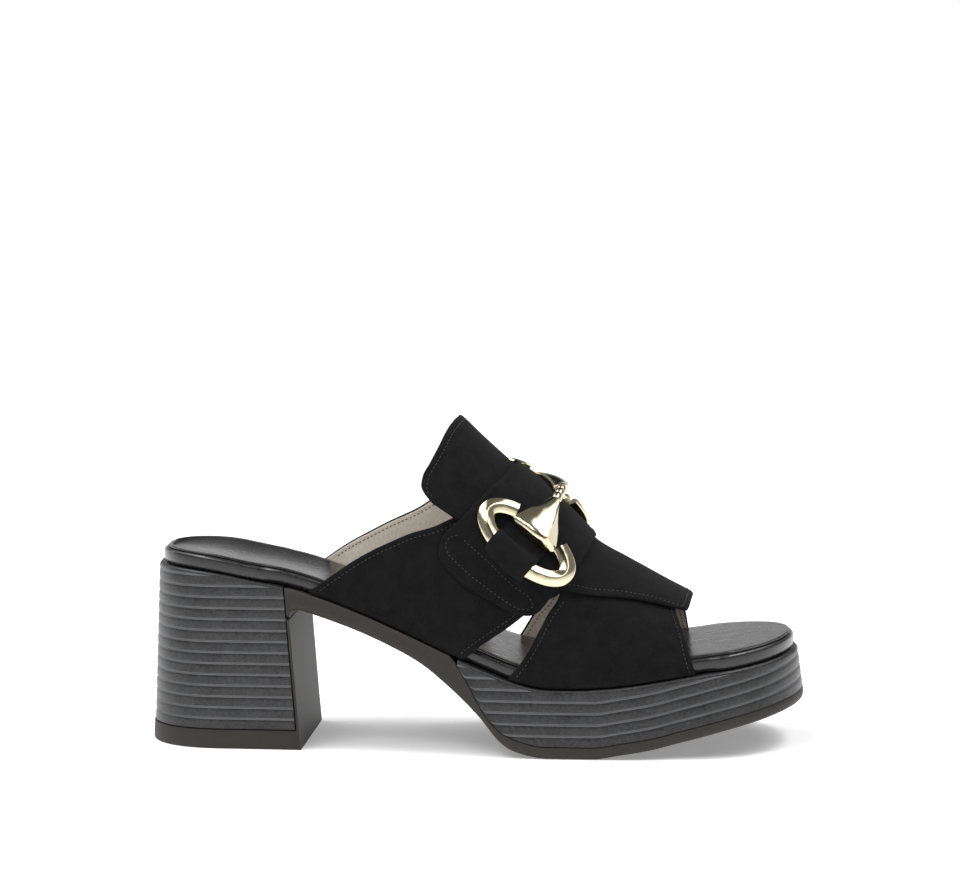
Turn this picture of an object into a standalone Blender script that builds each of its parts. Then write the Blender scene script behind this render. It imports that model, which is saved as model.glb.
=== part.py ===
"""Right-foot platform slide sandal: block heel, leather footbed, suede straps and a cast ring ornament.

All lengths are in metres. In shoe coordinates x runs from the back of the heel to the toe, y is
negative on the outer (lateral) side and positive on the inner (medial) side, and z is up from the
floor. Each table row starts with a place: a share of LENGTH, or a girth share t, which runs over the
last from -1 at the lateral edge of the sole, through 0 on the crown, to 1 at the medial edge.
"""
import math
from collections import namedtuple

import bmesh
import bpy
from mathutils import Vector

LATERAL, MEDIAL = -1, 1
GAP = 0.0003                # between pieces that are stuck or stitched together
LAYER_GAP = 0.0005          # between the curved layers of the straps, and under their feet

# The last and the sole
LENGTH = 0.248
HEEL_WIDTH = 0.062
WAIST_WIDTH = 0.061
BALL_WIDTH = 0.0888
HEEL_HEIGHT = 0.0676        # floor to the seat under the footbed
PLATFORM_HEIGHT = 0.0252    # floor to the platform's top at the ball
TOE_RISE = 0.0117           # how far the platform's top climbs from the ball to the toe
TOE_SPRING = 0.0165         # how far the tread lifts off the floor at the toe
INSTEP_HEIGHT = 0.0742      # platform's top to the crown of the upper, at the back of the saddle
HEEL_ROUND = 0.030          # length of the round heel end
TOE_ROUND = 0.043           # length of the round toe end
TOE_CENTRE = 0.007          # the toe's tip lies this far to the medial side
HEEL_SQUARENESS = 2.2
TOE_SQUARENESS = {LATERAL: 2.0, MEDIAL: 2.2}
FULLNESS = {LATERAL: 2.2, MEDIAL: 2.5}     # 2 is an ellipse, more is fuller

# Heel
HEEL_BASE = 0.060           # length of the heel at the floor
HEEL_RAKE = 0.0026          # the back leans in by this much at the seat
BREAST_RAKE = 0.0056        # the breast leans back by this much at the seat
HEEL_TAPER = 0.03           # share of its width that the heel loses at the floor
LIFT = 0.0073
LIFT_CHAMFER = 0.0008
LIFT_PROUD = 0.0003         # the top piece stands out past the stacked heel
BREAST_PLATE = 0.0009
BREAST_FILLET = 0.0042

# Outsole and platform
OUTSOLE = 0.0044
WAIST_EDGE = 0.0024         # rounding along the lower edge of the rubber
PLATFORM_LIP = 0.0011       # rounding along the top edge of platform and heel
RIB_PITCH = 0.00415
RIB_GROOVE = 0.0005
RIB_GROOVE_WIDTH = 0.0011
HEEL_RIBS, PLATFORM_RIBS = 15, 11    # most grooves that a wall can hold at its highest place

# Footbed and sock
FOOTBED = 0.0055
FOOTBED_ROLL = 0.0014
SOCK = 0.0006
SOCK_MARGIN = 0.0003
HEEL_CUP = 0.0016           # how far the seat of the footbed dips below its rim

# Upper
UPPER_WALL = 0.0022
FOOT_INSET = 0.0005         # the straps' feet stand in from the platform's top edge
PLUG_WALL = 0.0015
SADDLE_WALL = 0.0015
KEEPER_WALL = 0.0010
KEEPER_WIDTH = 0.0185
KEEPER_EASE = 0.0016        # slack of the keeper around the ring's bar
GAP_APEX = 0.605            # girth share where the side openings close
GAP_APEX_PLACE = 0.631

# Ornament
ORNAMENT_PLACE = 0.613
RING_LENGTH = 0.0435
RING_WIDTH = 0.0235
RING_BAND = 0.0064
RING_HEIGHT = 0.0034
RING_REST = 0.0005          # height of the ring's underside over the saddle
BELL_REST = 0.0009
BELL_WIDE = 0.0200
BELL_NARROW = 0.0048
BELL_HEIGHT = 0.0056
BEAD_RADIUS = 0.0021
NECK_RADIUS = 0.0012

# place, width there, lateral share of it, medial share of it
OUTLINE = [
    (0.10, HEEL_WIDTH, 0.492, 0.492),
    (0.20, HEEL_WIDTH, 0.503, 0.497),
    (0.32, WAIST_WIDTH, 0.533, 0.467),
    (0.42, BALL_WIDTH, 0.400, 0.340),
    (0.52, BALL_WIDTH, 0.452, 0.412),
    (0.63, BALL_WIDTH, 0.478, 0.490),
    (0.74, BALL_WIDTH, 0.476, 0.524),
    (0.83, BALL_WIDTH, 0.447, 0.521),
    (1.00, BALL_WIDTH, 0.447, 0.521),
]
# place, share of the drop from seat to ball
DECK_DROP = [
    (0.00, 1.010), (0.05, 0.995), (0.10, 0.970), (0.16, 0.905), (0.22, 0.835), (0.28, 0.730), (0.34, 0.595),
    (0.40, 0.445), (0.46, 0.290), (0.52, 0.150), (0.57, 0.045), (0.61, 0.003), (0.65, 0.0), (1.0, 0.0),
]
# place, share of TOE_RISE
DECK_CLIMB = [
    (0.0, 0.0), (0.65, 0.0), (0.70, 0.06), (0.76, 0.22), (0.83, 0.46), (0.88, 0.61), (0.93, 0.75), (1.0, 0.97),
]
# place, share of TOE_SPRING
TREAD_CLIMB = [
    (0.0, 0.0), (0.68, 0.0), (0.72, 0.09), (0.77, 0.22), (0.81, 0.37), (0.87, 0.60), (0.93, 0.79), (1.0, 1.0),
]
# place, share of HEEL_HEIGHT under the arch
ARCH = [
    (0.20, 0.823), (0.22, 0.797), (0.27, 0.740), (0.32, 0.675), (0.37, 0.597), (0.42, 0.502), (0.46, 0.390),
    (0.49, 0.293), (0.515, 0.200), (0.54, 0.088), (0.56, 0.038), (0.585, 0.012), (0.61, 0.0), (1.0, 0.0),
]
# place, share of HEEL_HEIGHT by which the platform's seam climbs into the waist
SEAM_CLIMB = [
    (0.20, 0.90), (0.40, 0.80), (0.468, 0.479), (0.496, 0.322), (0.515, 0.197), (0.53, 0.121), (0.545, 0.070),
    (0.575, 0.022), (0.61, 0.0), (1.0, 0.0),
]
# place, lean of the side wall from the floor to the deck
SIDE_LEAN = [(0.0, 0.0), (0.25, 0.0004), (0.5, 0.0012), (0.9, 0.0014), (1.0, 0.0028)]
# place, distance of the footbed from the deck's edge, outside the stretch where the straps' feet stand
FOOTBED_INSET = [
    (0.0, 0.0018), (0.12, 0.0010), (0.19, 0.0012), (0.215, 0.0), (0.85, 0.0), (0.88, 0.0013), (1.0, 0.0014),
]
# place, share of the room that the footbed leaves for the straps' feet
FOOTBED_UNDER_STRAPS = [(0.0, 0.0), (0.18, 0.0), (0.215, 1.0), (0.85, 1.0), (0.88, 0.0), (1.0, 0.0)]
# place, share of INSTEP_HEIGHT from the deck to the crown
CROWN = [
    (0.20, 1.17), (0.40, 1.19), (0.44, 1.165), (0.47, 1.128), (0.50, 1.072), (0.54, 1.005), (0.58, 0.94),
    (0.63, 0.797), (0.68, 0.633), (0.72, 0.547), (0.76, 0.457), (0.80, 0.363), (0.84, 0.274), (0.88, 0.214),
]
# place, share of BALL_WIDTH from the middle of the sole to the crown line
RIDGE = [(0.20, 0.03), (0.45, 0.055), (0.60, 0.055), (0.85, 0.035)]
# girth share, place of the rear strap's back edge
REAR_BACK = [
    (-1.0, 0.252), (-0.93, 0.289), (-0.845, 0.334), (-0.745, 0.394), (-0.65, 0.450), (-0.50, 0.500),
    (-0.25, 0.530), (0.0, 0.537), (0.25, 0.525), (0.50, 0.470), (0.68, 0.413), (0.80, 0.342),
    (0.90, 0.282), (1.0, 0.228),
]
# girth share, place of the rear strap's front edge, down to the sole on each side
REAR_FRONT = [
    (-1.0, 0.486), (-0.93, 0.515), (-0.86, 0.544), (-0.78, 0.574), (-0.695, 0.602),
    (-GAP_APEX, GAP_APEX_PLACE), (GAP_APEX, GAP_APEX_PLACE), (0.695, 0.598), (0.78, 0.568), (0.86, 0.538),
    (0.93, 0.508), (1.0, 0.478),
]
# girth share, place of the front strap's back edge
FRONT_BACK = [
    (-1.0, 0.553), (-0.925, 0.575), (-0.855, 0.590), (-0.735, 0.611), (-GAP_APEX, GAP_APEX_PLACE),
    (GAP_APEX, GAP_APEX_PLACE), (0.70, 0.616), (0.795, 0.597), (0.855, 0.579), (0.94, 0.559), (1.0, 0.545),
]
# girth share, place of the front strap's front edge
FRONT_FRONT = [
    (-1.0, 0.832), (-0.84, 0.824), (-0.675, 0.818), (-0.51, 0.810), (-0.365, 0.803), (0.0, 0.812),
    (0.365, 0.815), (0.51, 0.817), (0.675, 0.821), (0.885, 0.826), (1.0, 0.832),
]
# girth share, place of the tongue's back edge, place of the plug's front edge
PLUG = [
    (-0.605, 0.440, 0.630), (-0.58, 0.4215, 0.650), (-0.54, 0.4235, 0.676), (-0.48, 0.433, 0.722),
    (-0.42, 0.441, 0.775), (-0.365, 0.447, 0.817), (-0.12, 0.463, 0.824), (0.0, 0.466, 0.826),
    (0.12, 0.464, 0.827), (0.365, 0.456, 0.823), (0.42, 0.451, 0.780), (0.48, 0.443, 0.727),
    (0.54, 0.433, 0.680), (0.58, 0.430, 0.652), (0.605, 0.445, 0.630),
]
# girth share either side, place of the saddle strap's back edge and front edge
SADDLE = [
    (0.0, 0.552, 0.672), (0.25, 0.540, 0.665), (0.42, 0.517, 0.654), (0.54, 0.494, 0.638),
    (0.605, 0.479, 0.628), (0.65, 0.465, 0.618), (0.70, 0.453, 0.608), (0.735, 0.450, 0.599),
    (0.76, 0.459, 0.588), (0.78, 0.487, 0.568),
]
# girth shares of the rows of faces across every strap, so that the layers stay parallel
ROWS = (
    0.0, 0.12, 0.25, 0.365, 0.42, 0.48, 0.54, 0.58, 0.605,
    0.65, 0.70, 0.735, 0.76, 0.78, 0.82, 0.87, 0.93, 1.0,
)
PLUG_EDGE, SADDLE_DOWN, SADDLE_END = 0.605, 0.70, 0.78

# The ornament hangs to the lateral side. For each half: girth shares of the ring's middle, the bell's wide
# and narrow ends and the keeper's inner and outer ends; then distances along the crown of ring and beads
Half = namedtuple("Half", "ring wide narrow keeper_in keeper_out ring_along bead_along")
HALVES = {
    LATERAL: Half(-0.53, -0.485, -0.255, -0.550, -0.662, 0.0015, -0.0010),
    MEDIAL: Half(0.395, 0.325, -0.030, 0.420, 0.573, -0.0045, -0.0020),
}
# share of RING_BAND across it, share of RING_HEIGHT
RING_SECTION = [(-0.5, 0.0), (-0.42, 0.6), (-0.12, 1.0), (0.2, 0.85), (0.5, 0.25), (0.46, 0.0)]
KEEPER_SHIFT = -0.0012      # along the crown, from the ring's middle

HEEL_STEPS, MIDDLE_STEPS, TOE_STEPS = 6, 20, 8
BED_SHARES = (-0.5, 0.0, 0.5)    # the footbed's inner points, from its middle to its rims


def smooth(rows):
    """A curve through rows of (place, value) that never swings past a row's value."""
    places = [row[0] for row in rows]
    values = [row[1] for row in rows]
    grades = [(values[i + 1] - values[i]) / (places[i + 1] - places[i]) for i in range(len(rows) - 1)]
    slopes = [grades[0]]
    for before, after in zip(grades, grades[1:]):
        slopes.append(0.0 if before * after <= 0 else 2 * before * after / (before + after))
    slopes.append(grades[-1])

    def value(place):
        place = min(max(place, places[0]), places[-1])
        i = next((k for k in range(len(rows) - 2) if place < places[k + 1]), len(rows) - 2)
        span = places[i + 1] - places[i]
        u = (place - places[i]) / span
        from_left = (1 + 2 * u) * values[i] + u * span * slopes[i]
        from_right = (3 - 2 * u) * values[i + 1] + (u - 1) * span * slopes[i + 1]
        return (1 - u) ** 2 * from_left + u * u * from_right

    return value


half_width = {
    LATERAL: smooth([(place, width * lateral) for place, width, lateral, medial in OUTLINE]),
    MEDIAL: smooth([(place, width * medial) for place, width, lateral, medial in OUTLINE]),
}
deck_drop, deck_climb, tread_climb = smooth(DECK_DROP), smooth(DECK_CLIMB), smooth(TREAD_CLIMB)
arch, seam_climb, side_lean = smooth(ARCH), smooth(SEAM_CLIMB), smooth(SIDE_LEAN)
footbed_inset, under_straps = smooth(FOOTBED_INSET), smooth(FOOTBED_UNDER_STRAPS)
crown, ridge = smooth(CROWN), smooth(RIDGE)
rear_back, rear_front = smooth(REAR_BACK), smooth(REAR_FRONT)
front_back, front_front = smooth(FRONT_BACK), smooth(FRONT_FRONT)
plug_back = smooth([(t, back) for t, back, front in PLUG])
plug_front = smooth([(t, front) for t, back, front in PLUG])
saddle_back = smooth([(t, back) for t, back, front in SADDLE])
saddle_front = smooth([(t, front) for t, back, front in SADDLE])


def edge(x, side):
    """y of the sole's outline, on one side."""
    full = side * half_width[side](x / LENGTH)
    if x < HEEL_ROUND:
        u = 1 - max(x, 0.0) / HEEL_ROUND
        return full * (1 - u ** HEEL_SQUARENESS) ** (1 / HEEL_SQUARENESS)
    if x > LENGTH - TOE_ROUND:
        u = min(1 - (LENGTH - x) / TOE_ROUND, 1.0)
        power = TOE_SQUARENESS[side]
        return TOE_CENTRE + (full - TOE_CENTRE) * (1 - u ** power) ** (1 / power)
    return full


def rim(x, side, inset):
    """Point of the sole's outline at x, moved inwards square to the outline."""
    step = 0.0003
    if x < step:
        return inset, 0.0
    if x > LENGTH - step:
        return LENGTH - inset, TOE_CENTRE
    along = Vector((2 * step, edge(x + step, side) - edge(x - step, side))).normalized()
    return x + side * along.y * inset, edge(x, side) - side * along.x * inset


def deck(x):
    """Height of the top of heel, waist and platform."""
    place = x / LENGTH
    return PLATFORM_HEIGHT + (HEEL_HEIGHT - PLATFORM_HEIGHT) * deck_drop(place) + TOE_RISE * deck_climb(place)


def tread(x):
    """Height of the rubber's underside, with the fillet where it runs down into the heel's breast."""
    place = x / LENGTH
    height = HEEL_HEIGHT * arch(place) + TOE_SPRING * tread_climb(place)
    into_fillet = min((breast_top() + BREAST_FILLET - x) / BREAST_FILLET, 1.0)
    if into_fillet > 0:
        height -= BREAST_FILLET * (1 - math.sqrt(1 - into_fillet ** 2))
    return height


def seam(x):
    """Height of the joint between outsole and platform."""
    return OUTSOLE + TOE_SPRING * tread_climb(x / LENGTH) + HEEL_HEIGHT * seam_climb(x / LENGTH)


def heel_back(z):
    return HEEL_RAKE * z / HEEL_HEIGHT


def breast(z):
    """x of the heel's front face."""
    return HEEL_BASE - BREAST_RAKE * z / HEEL_HEIGHT


def breast_top():
    return breast(HEEL_HEIGHT * arch(HEEL_BASE / LENGTH))


def heel_point(share, side, z, inset):
    """Point of the heel's side wall: share runs from its back, 0, to its breast, 1."""
    x, y = rim(share * HEEL_BASE, side, inset)
    x = heel_back(z) + x * (breast(z) - heel_back(z)) / HEEL_BASE
    return Vector((x, y * (1 - HEEL_TAPER * (1 - z / HEEL_HEIGHT)), z))


def breast_share(depth):
    """Share of the heel's length at a depth behind its breast."""
    return 1 - depth / (breast(HEEL_HEIGHT) - heel_back(HEEL_HEIGHT))


def deck_inset(x):
    """How far the deck's edge stands in from the sole's outline."""
    return side_lean(x / LENGTH) + HEEL_RAKE * max(0.0, 1 - x / HEEL_ROUND) ** 2


def stations():
    """Places along the sole where its pieces are cut into sections."""
    xs = [HEEL_ROUND * (1 - math.cos(math.pi / 2 * i / HEEL_STEPS)) for i in range(HEEL_STEPS)]
    start, end = HEEL_ROUND, LENGTH - TOE_ROUND
    xs += [start + (end - start) * i / MIDDLE_STEPS for i in range(MIDDLE_STEPS)]
    xs += [end + TOE_ROUND * math.sin(math.pi / 2 * i / TOE_STEPS) for i in range(TOE_STEPS + 1)]
    return xs


STATIONS = stations()


def middle_y():
    """y midway between the two sides of the sole, which is the model's own y of 0."""
    return (max(edge(x, MEDIAL) for x in STATIONS) + min(edge(x, LATERAL) for x in STATIONS)) / 2


ORIGIN = Vector((LENGTH / 2, middle_y(), 0.0))


def finish(name, colour, roughness, metallic=0.0):
    """A plain material; the colour is a triple of sRGB shares."""
    material = bpy.data.materials.new(name)
    material.use_nodes = True
    shader = material.node_tree.nodes["Principled BSDF"]
    linear = [c / 12.92 if c <= 0.04045 else ((c + 0.055) / 1.055) ** 2.4 for c in colour]
    shader.inputs["Base Color"].default_value = (*linear, 1.0)
    shader.inputs["Roughness"].default_value = roughness
    shader.inputs["Metallic"].default_value = metallic
    return material


def add(name, points, faces, material):
    """Make the object, joining equal points and leaving out faces that have shrunk to a line."""
    mesh = bpy.data.meshes.new(name)
    model = bmesh.new()
    corners = {}
    index = []
    for point in points:
        key = tuple(round(c * 1e6) for c in point)
        if key not in corners:
            corners[key] = model.verts.new(Vector(point) - ORIGIN)
        index.append(corners[key])
    for face in faces:
        ring = []
        for i in face:
            if index[i] not in ring:
                ring.append(index[i])
        if len(ring) > 2 and model.faces.get(ring) is None:
            model.faces.new(ring)
    bmesh.ops.recalc_face_normals(model, faces=model.faces)
    model.to_mesh(mesh)
    model.free()
    mesh.materials.append(material)
    mesh.shade_smooth()
    mesh.set_sharp_from_angle(angle=math.radians(35))
    body = bpy.data.objects.new(name, mesh)
    bpy.context.scene.collection.objects.link(body)
    return body


def loft(name, sections, material, start_cap=True, end_cap=True, closed=False):
    """Skin equal rings of points; a section that has shrunk to a line needs no cap."""
    count = len(sections[0])
    points = [point for section in sections for point in section]
    faces = []
    for i in range(len(sections) if closed else len(sections) - 1):
        here, there = i * count, (i + 1) % len(sections) * count
        for k in range(count):
            following = (k + 1) % count
            faces.append((here + k, here + following, there + following, there + k))
    if not closed and start_cap:
        faces.append(tuple(range(count)))
    if not closed and end_cap:
        faces.append(tuple(range(len(points) - count, len(points))))
    return add(name, points, faces, material)


def across(lateral, medial, top, bottom=()):
    """A section's ring: up the lateral wall, over the top, down the medial wall, back underneath."""
    return lateral + list(top) + medial[::-1] + list(bottom)


def rib_levels(first, low, high, count):
    """Heights and insets up a ribbed wall, with a groove at each pitch between low and high."""
    levels = [(low, 0.0)]
    for k in range(1, count + 1):
        middle = first + k * RIB_PITCH
        for offset, depth in ((-0.5, 0.0), (0.0, RIB_GROOVE), (0.5, 0.0)):
            z = middle + offset * RIB_GROOVE_WIDTH
            whole = low < middle - 0.5 * RIB_GROOVE_WIDTH and middle + 0.5 * RIB_GROOVE_WIDTH < high
            levels.append((min(max(z, low), high), depth if whole else 0.0))
    return levels + [(high, 0.0)]


def heel_shares():
    """Shares of the heel's length at its sections: the round back, then the straight sides."""
    xs = [x for x in STATIONS if x < HEEL_BASE - 0.004] + [HEEL_BASE]
    return [x / HEEL_BASE for x in xs]


def build_heel_lift(material):
    """The rubber top piece, with the plate that covers the breast moulded on."""
    top = tread(breast_top()) - GAP
    plate_share = breast_share(BREAST_PLATE)
    shares = [s for s in heel_shares() if s < plate_share]
    sections = []
    for share, height in [(s, LIFT) for s in shares] + [(plate_share, LIFT), (plate_share, top), (1.0, top)]:
        walls = {}
        for side in (LATERAL, MEDIAL):
            levels = ((0.0, LIFT_CHAMFER), (LIFT_CHAMFER, 0.0), (LIFT, 0.0), (height, 0.0))
            walls[side] = [heel_point(share, side, z, inset - LIFT_PROUD) for z, inset in levels]
        sections.append(across(walls[LATERAL], walls[MEDIAL], ()))
    sections[0] = [Vector((p.x, 0.0, p.z)) for p in sections[0]]
    return loft("heel_lift", sections, material, start_cap=False)


def build_heel_block(material):
    """The stacked heel between the top piece and the seat."""
    low = LIFT + GAP
    sections = []
    front = breast_share(BREAST_PLATE + 1.5 * GAP)
    for share in [s for s in heel_shares() if s < front] + [front]:
        walls = {}
        for side in (LATERAL, MEDIAL):
            seat = deck(share * breast(HEEL_HEIGHT) + heel_back(HEEL_HEIGHT) * (1 - share))
            levels = rib_levels(LIFT, low, seat - PLATFORM_LIP, HEEL_RIBS) + [(seat, PLATFORM_LIP)]
            walls[side] = [heel_point(share, side, z, inset) for z, inset in levels]
        sections.append(across(walls[LATERAL], walls[MEDIAL], ()))
    sections[0] = [Vector((p.x, 0.0, p.z)) for p in sections[0]]
    return loft("heel_block", sections, material, start_cap=False)


def wall_point(x, side, z, inset):
    """Point of the side wall of outsole or platform, which leans in from the floor to the deck."""
    lean = deck_inset(x) * min(max((z - tread(x)) / max(deck(x) - tread(x), OUTSOLE), 0.0), 1.0)
    px, py = rim(x, side, inset + lean)
    return Vector((px, py, z))


def build_outsole(material):
    """The rubber from the breast, through the waist, under the forefoot to the toe."""
    start = breast_top()
    xs = [start - BREAST_PLATE, start] + [start + BREAST_FILLET * share for share in (0.15, 0.45, 1.0)]
    xs += [x for x in STATIONS if x > xs[-1] + 0.003]
    sections = []
    for i, x in enumerate(xs):
        low = tread(max(x, start))
        high = min(seam(x), deck(x))
        walls = {}
        for side in (LATERAL, MEDIAL):
            levels = (
                (low, WAIST_EDGE), (low + 0.3 * WAIST_EDGE, 0.3 * WAIST_EDGE), (low + WAIST_EDGE, 0.0),
                (high, 0.0),
            )
            walls[side] = [wall_point(x, side, z, inset) for z, inset in levels]
        section = across(walls[LATERAL], walls[MEDIAL], ())
        if i < 2:
            back = BREAST_PLATE if i == 0 else 0.0
            section = [Vector((breast(p.z) - back, p.y, p.z)) for p in section]
        sections.append(section)
    return loft("outsole", sections, material, end_cap=False)


def build_platform(material):
    """The stacked platform over the outsole, from its thin end in the waist to the toe."""
    thin = 2 * PLATFORM_LIP
    low_x, high_x = 0.40 * LENGTH, 0.61 * LENGTH
    for _ in range(30):
        middle = (low_x + high_x) / 2
        if deck(middle) - seam(middle) < thin + GAP:
            low_x = middle
        else:
            high_x = middle
    sections = []
    for x in [high_x] + [x for x in STATIONS if x > high_x + 0.002]:
        flat_seam = OUTSOLE + TOE_SPRING * tread_climb(x / LENGTH)
        walls = {}
        for side in (LATERAL, MEDIAL):
            low, high = seam(x) + GAP, deck(rim(x, side, deck_inset(x))[0])
            levels = rib_levels(flat_seam, low, high - PLATFORM_LIP, PLATFORM_RIBS) + [(high, PLATFORM_LIP)]
            walls[side] = [wall_point(x, side, z, inset) for z, inset in levels]
        sections.append(across(walls[LATERAL], walls[MEDIAL], ()))
    return loft("platform", sections, material, end_cap=False)


def footbed_edge(x):
    """Inset of the footbed from the sole's outline; under the straps it leaves room for their wall."""
    straps = FOOT_INSET + UPPER_WALL + 2 * GAP
    return deck_inset(x) + under_straps(x / LENGTH) * straps + footbed_inset(x / LENGTH)


def cup(x, share):
    """How far the footbed dips, share of the way from its middle to its rim."""
    along = max(0.0, 1 - (x / LENGTH - 0.14) ** 2 / 0.05)
    return HEEL_CUP * along * (1 - share ** 2)


def bed_section(x, levels, shares, underside):
    """A ring of the footbed or sock: walls by levels, and a dished top."""
    walls = {}
    for side in (LATERAL, MEDIAL):
        places = [rim(x, side, inset) for z, inset in levels]
        walls[side] = [Vector((px, py, deck(px) + z)) for (px, py), (z, inset) in zip(places, levels)]
    left, right = walls[LATERAL][-1], walls[MEDIAL][-1]
    top = []
    for share in shares:
        point = left.lerp(right, (share + 1) / 2)
        top.append(point - Vector((0.0, 0.0, cup(x, abs(share)))))
    bottom = []
    if underside:
        left, right = walls[LATERAL][0], walls[MEDIAL][0]
        for share in shares[::-1]:
            point = left.lerp(right, (share + 1) / 2)
            bottom.append(point - Vector((0.0, 0.0, cup(x, abs(share)))))
    return across(walls[LATERAL], walls[MEDIAL], top, bottom)


def build_footbed(material):
    """The board and cushion, wrapped in leather that rolls over the edge."""
    sections = []
    for x in STATIONS:
        base = footbed_edge(x)
        levels = (
            (GAP, base + 0.0004), (GAP + 0.4 * FOOTBED, base), (GAP + FOOTBED - FOOTBED_ROLL, base + 0.0002),
            (GAP + FOOTBED, base + FOOTBED_ROLL),
        )
        sections.append(bed_section(x, levels, BED_SHARES, False))
    return loft("footbed", sections, material, start_cap=False, end_cap=False)


def build_sock(material):
    """The leather insole cover."""
    sections = []
    for x in STATIONS:
        base = footbed_edge(x) + FOOTBED_ROLL + SOCK_MARGIN
        low = 2 * GAP + FOOTBED
        levels = ((low, base), (low + SOCK, base + 0.0004))
        sections.append(bed_section(x, levels, BED_SHARES, True))
    return loft("sock", sections, material, start_cap=False, end_cap=False)


def last_surface(x, t):
    """Point of the upper's outer face over the last."""
    side = LATERAL if t < 0 else MEDIAL
    power = FULLNESS[side]
    angle = abs(t) * math.pi / 2
    down, out = max(math.cos(angle), 0.0), math.sin(angle)
    reach = (down ** power + out ** power) ** (-1 / power)
    top = ridge(x / LENGTH) * BALL_WIDTH
    foot = edge(x, side) - side * (deck_inset(x) + FOOT_INSET)
    height = INSTEP_HEIGHT * crown(x / LENGTH)
    return Vector((x, top + (foot - top) * reach * out, deck(x) + LAYER_GAP + height * reach * down))


def last_normal(x, t):
    """Direction square to the last, pointing away from the foot."""
    step, turn = 0.0005, 0.01
    along = last_surface(x + step, t) - last_surface(x - step, t)
    around = last_surface(x, min(t + turn, 1.0)) - last_surface(x, max(t - turn, -1.0))
    return along.cross(around).normalized()


def over_last(x, t, height):
    return last_surface(x, t) + last_normal(x, t) * height


def shell(name, cells, low, high, material):
    """A strap's solid from four-sided cells of (x, t), between two heights over the last."""
    order = {}
    for cell in cells:
        for x, t in cell:
            order.setdefault((round(x, 6), round(t, 4)), len(order))
    count = len(order)
    outer = [over_last(x, t, high(t)) for x, t in order]
    inner = [over_last(x, t, low(t)) for x, t in order]
    faces, sides = [], {}
    for cell in cells:
        ring = []
        for x, t in cell:
            i = order[(round(x, 6), round(t, 4))]
            if i not in ring:
                ring.append(i)
        if len(ring) < 3:
            continue
        faces.append(ring)
        faces.append([i + count for i in reversed(ring)])
        for a, b in zip(ring, ring[1:] + ring[:1]):
            sides[(a, b)] = (b, a) not in sides
            if (b, a) in sides:
                sides[(b, a)] = False
    faces += [(a, b, b + count, a + count) for (a, b), is_rim in sides.items() if is_rim]
    return add(name, outer + inner, faces, material)


def patch(rows, back, front, columns):
    """Cells between two edges, from row to row."""
    cells = []
    for t, following in zip(rows, rows[1:]):
        for k in range(columns):
            low, high = k / columns, (k + 1) / columns
            corners = []
            for row, share in ((t, low), (t, high), (following, high), (following, low)):
                start, end = back(row) * LENGTH, front(row) * LENGTH
                corners.append((start + (end - start) * share, row))
            cells.append(corners)
    return cells


def both_sides(limit):
    """Girth shares of the rows within a limit, from the lateral to the medial side."""
    rows = [t for t in ROWS if t <= limit]
    return [-t for t in reversed(rows[1:])] + rows


def build_upper(material):
    """Rear and front straps in one lasted shell, open between them on each side."""
    rows = both_sides(1.0)
    cells = patch(rows, rear_back, rear_front, 7) + patch(rows, front_back, front_front, 8)
    return shell("upper", cells, lambda t: -UPPER_WALL, lambda t: 0.0, material)


def build_plug(material):
    """The centre strip down the instep, with the loose tongue at its top end."""
    rows = both_sides(PLUG_EDGE)
    cells = patch(rows, plug_back, plug_front, 15)
    return shell("vamp_plug", cells, lambda t: LAYER_GAP, lambda t: LAYER_GAP + PLUG_WALL, material)


def saddle_height(t):
    """Height of the saddle strap's underside: over the plug, then down on the upper."""
    share = min(max((abs(t) - PLUG_EDGE) / (SADDLE_DOWN - PLUG_EDGE), 0.0), 1.0)
    return GAP + (PLUG_WALL + 2 * LAYER_GAP - GAP) * (1 - share * share * (3 - 2 * share))


def build_saddle(material):
    """The wide strap across the instep."""
    rows = both_sides(SADDLE_END)
    cells = patch(rows, lambda t: saddle_back(abs(t)), lambda t: saddle_front(abs(t)), 6)
    return shell("saddle_strap", cells, saddle_height, lambda t: saddle_height(t) + SADDLE_WALL, material)


CENTRE = last_surface(ORNAMENT_PLACE * LENGTH, 0.0)
CROWN_LINE = (last_surface(ORNAMENT_PLACE * LENGTH + 0.004, 0.0)
              - last_surface(ORNAMENT_PLACE * LENGTH - 0.004, 0.0)).normalized()


def on_saddle(along, t, height):
    """Point over the saddle strap, at a distance along the crown line from the ornament's middle."""
    back, front = 0.45 * LENGTH, 0.80 * LENGTH
    lift = saddle_height(t) + SADDLE_WALL + height
    for _ in range(30):
        x = (back + front) / 2
        if (over_last(x, t, lift) - CENTRE).dot(CROWN_LINE) < along:
            back = x
        else:
            front = x
    return over_last((back + front) / 2, t, lift)


def girth_frame(along, t, height):
    """A seat for metalwork: its point, then unit vectors along the crown line, down the girth, and up."""
    side = LATERAL if t < 0 else MEDIAL
    turn, reach = 0.03, RING_LENGTH / 2 - RING_BAND
    lie = on_saddle(along + reach, t, height) - on_saddle(along - reach, t, height)
    fall = on_saddle(along, t + side * turn, height) - on_saddle(along, t - side * turn, height)
    up = side * lie.cross(fall).normalized()
    fore = (CROWN_LINE - up * CROWN_LINE.dot(up)).normalized()
    return on_saddle(along, t, height), fore, side * up.cross(fore), up


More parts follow.
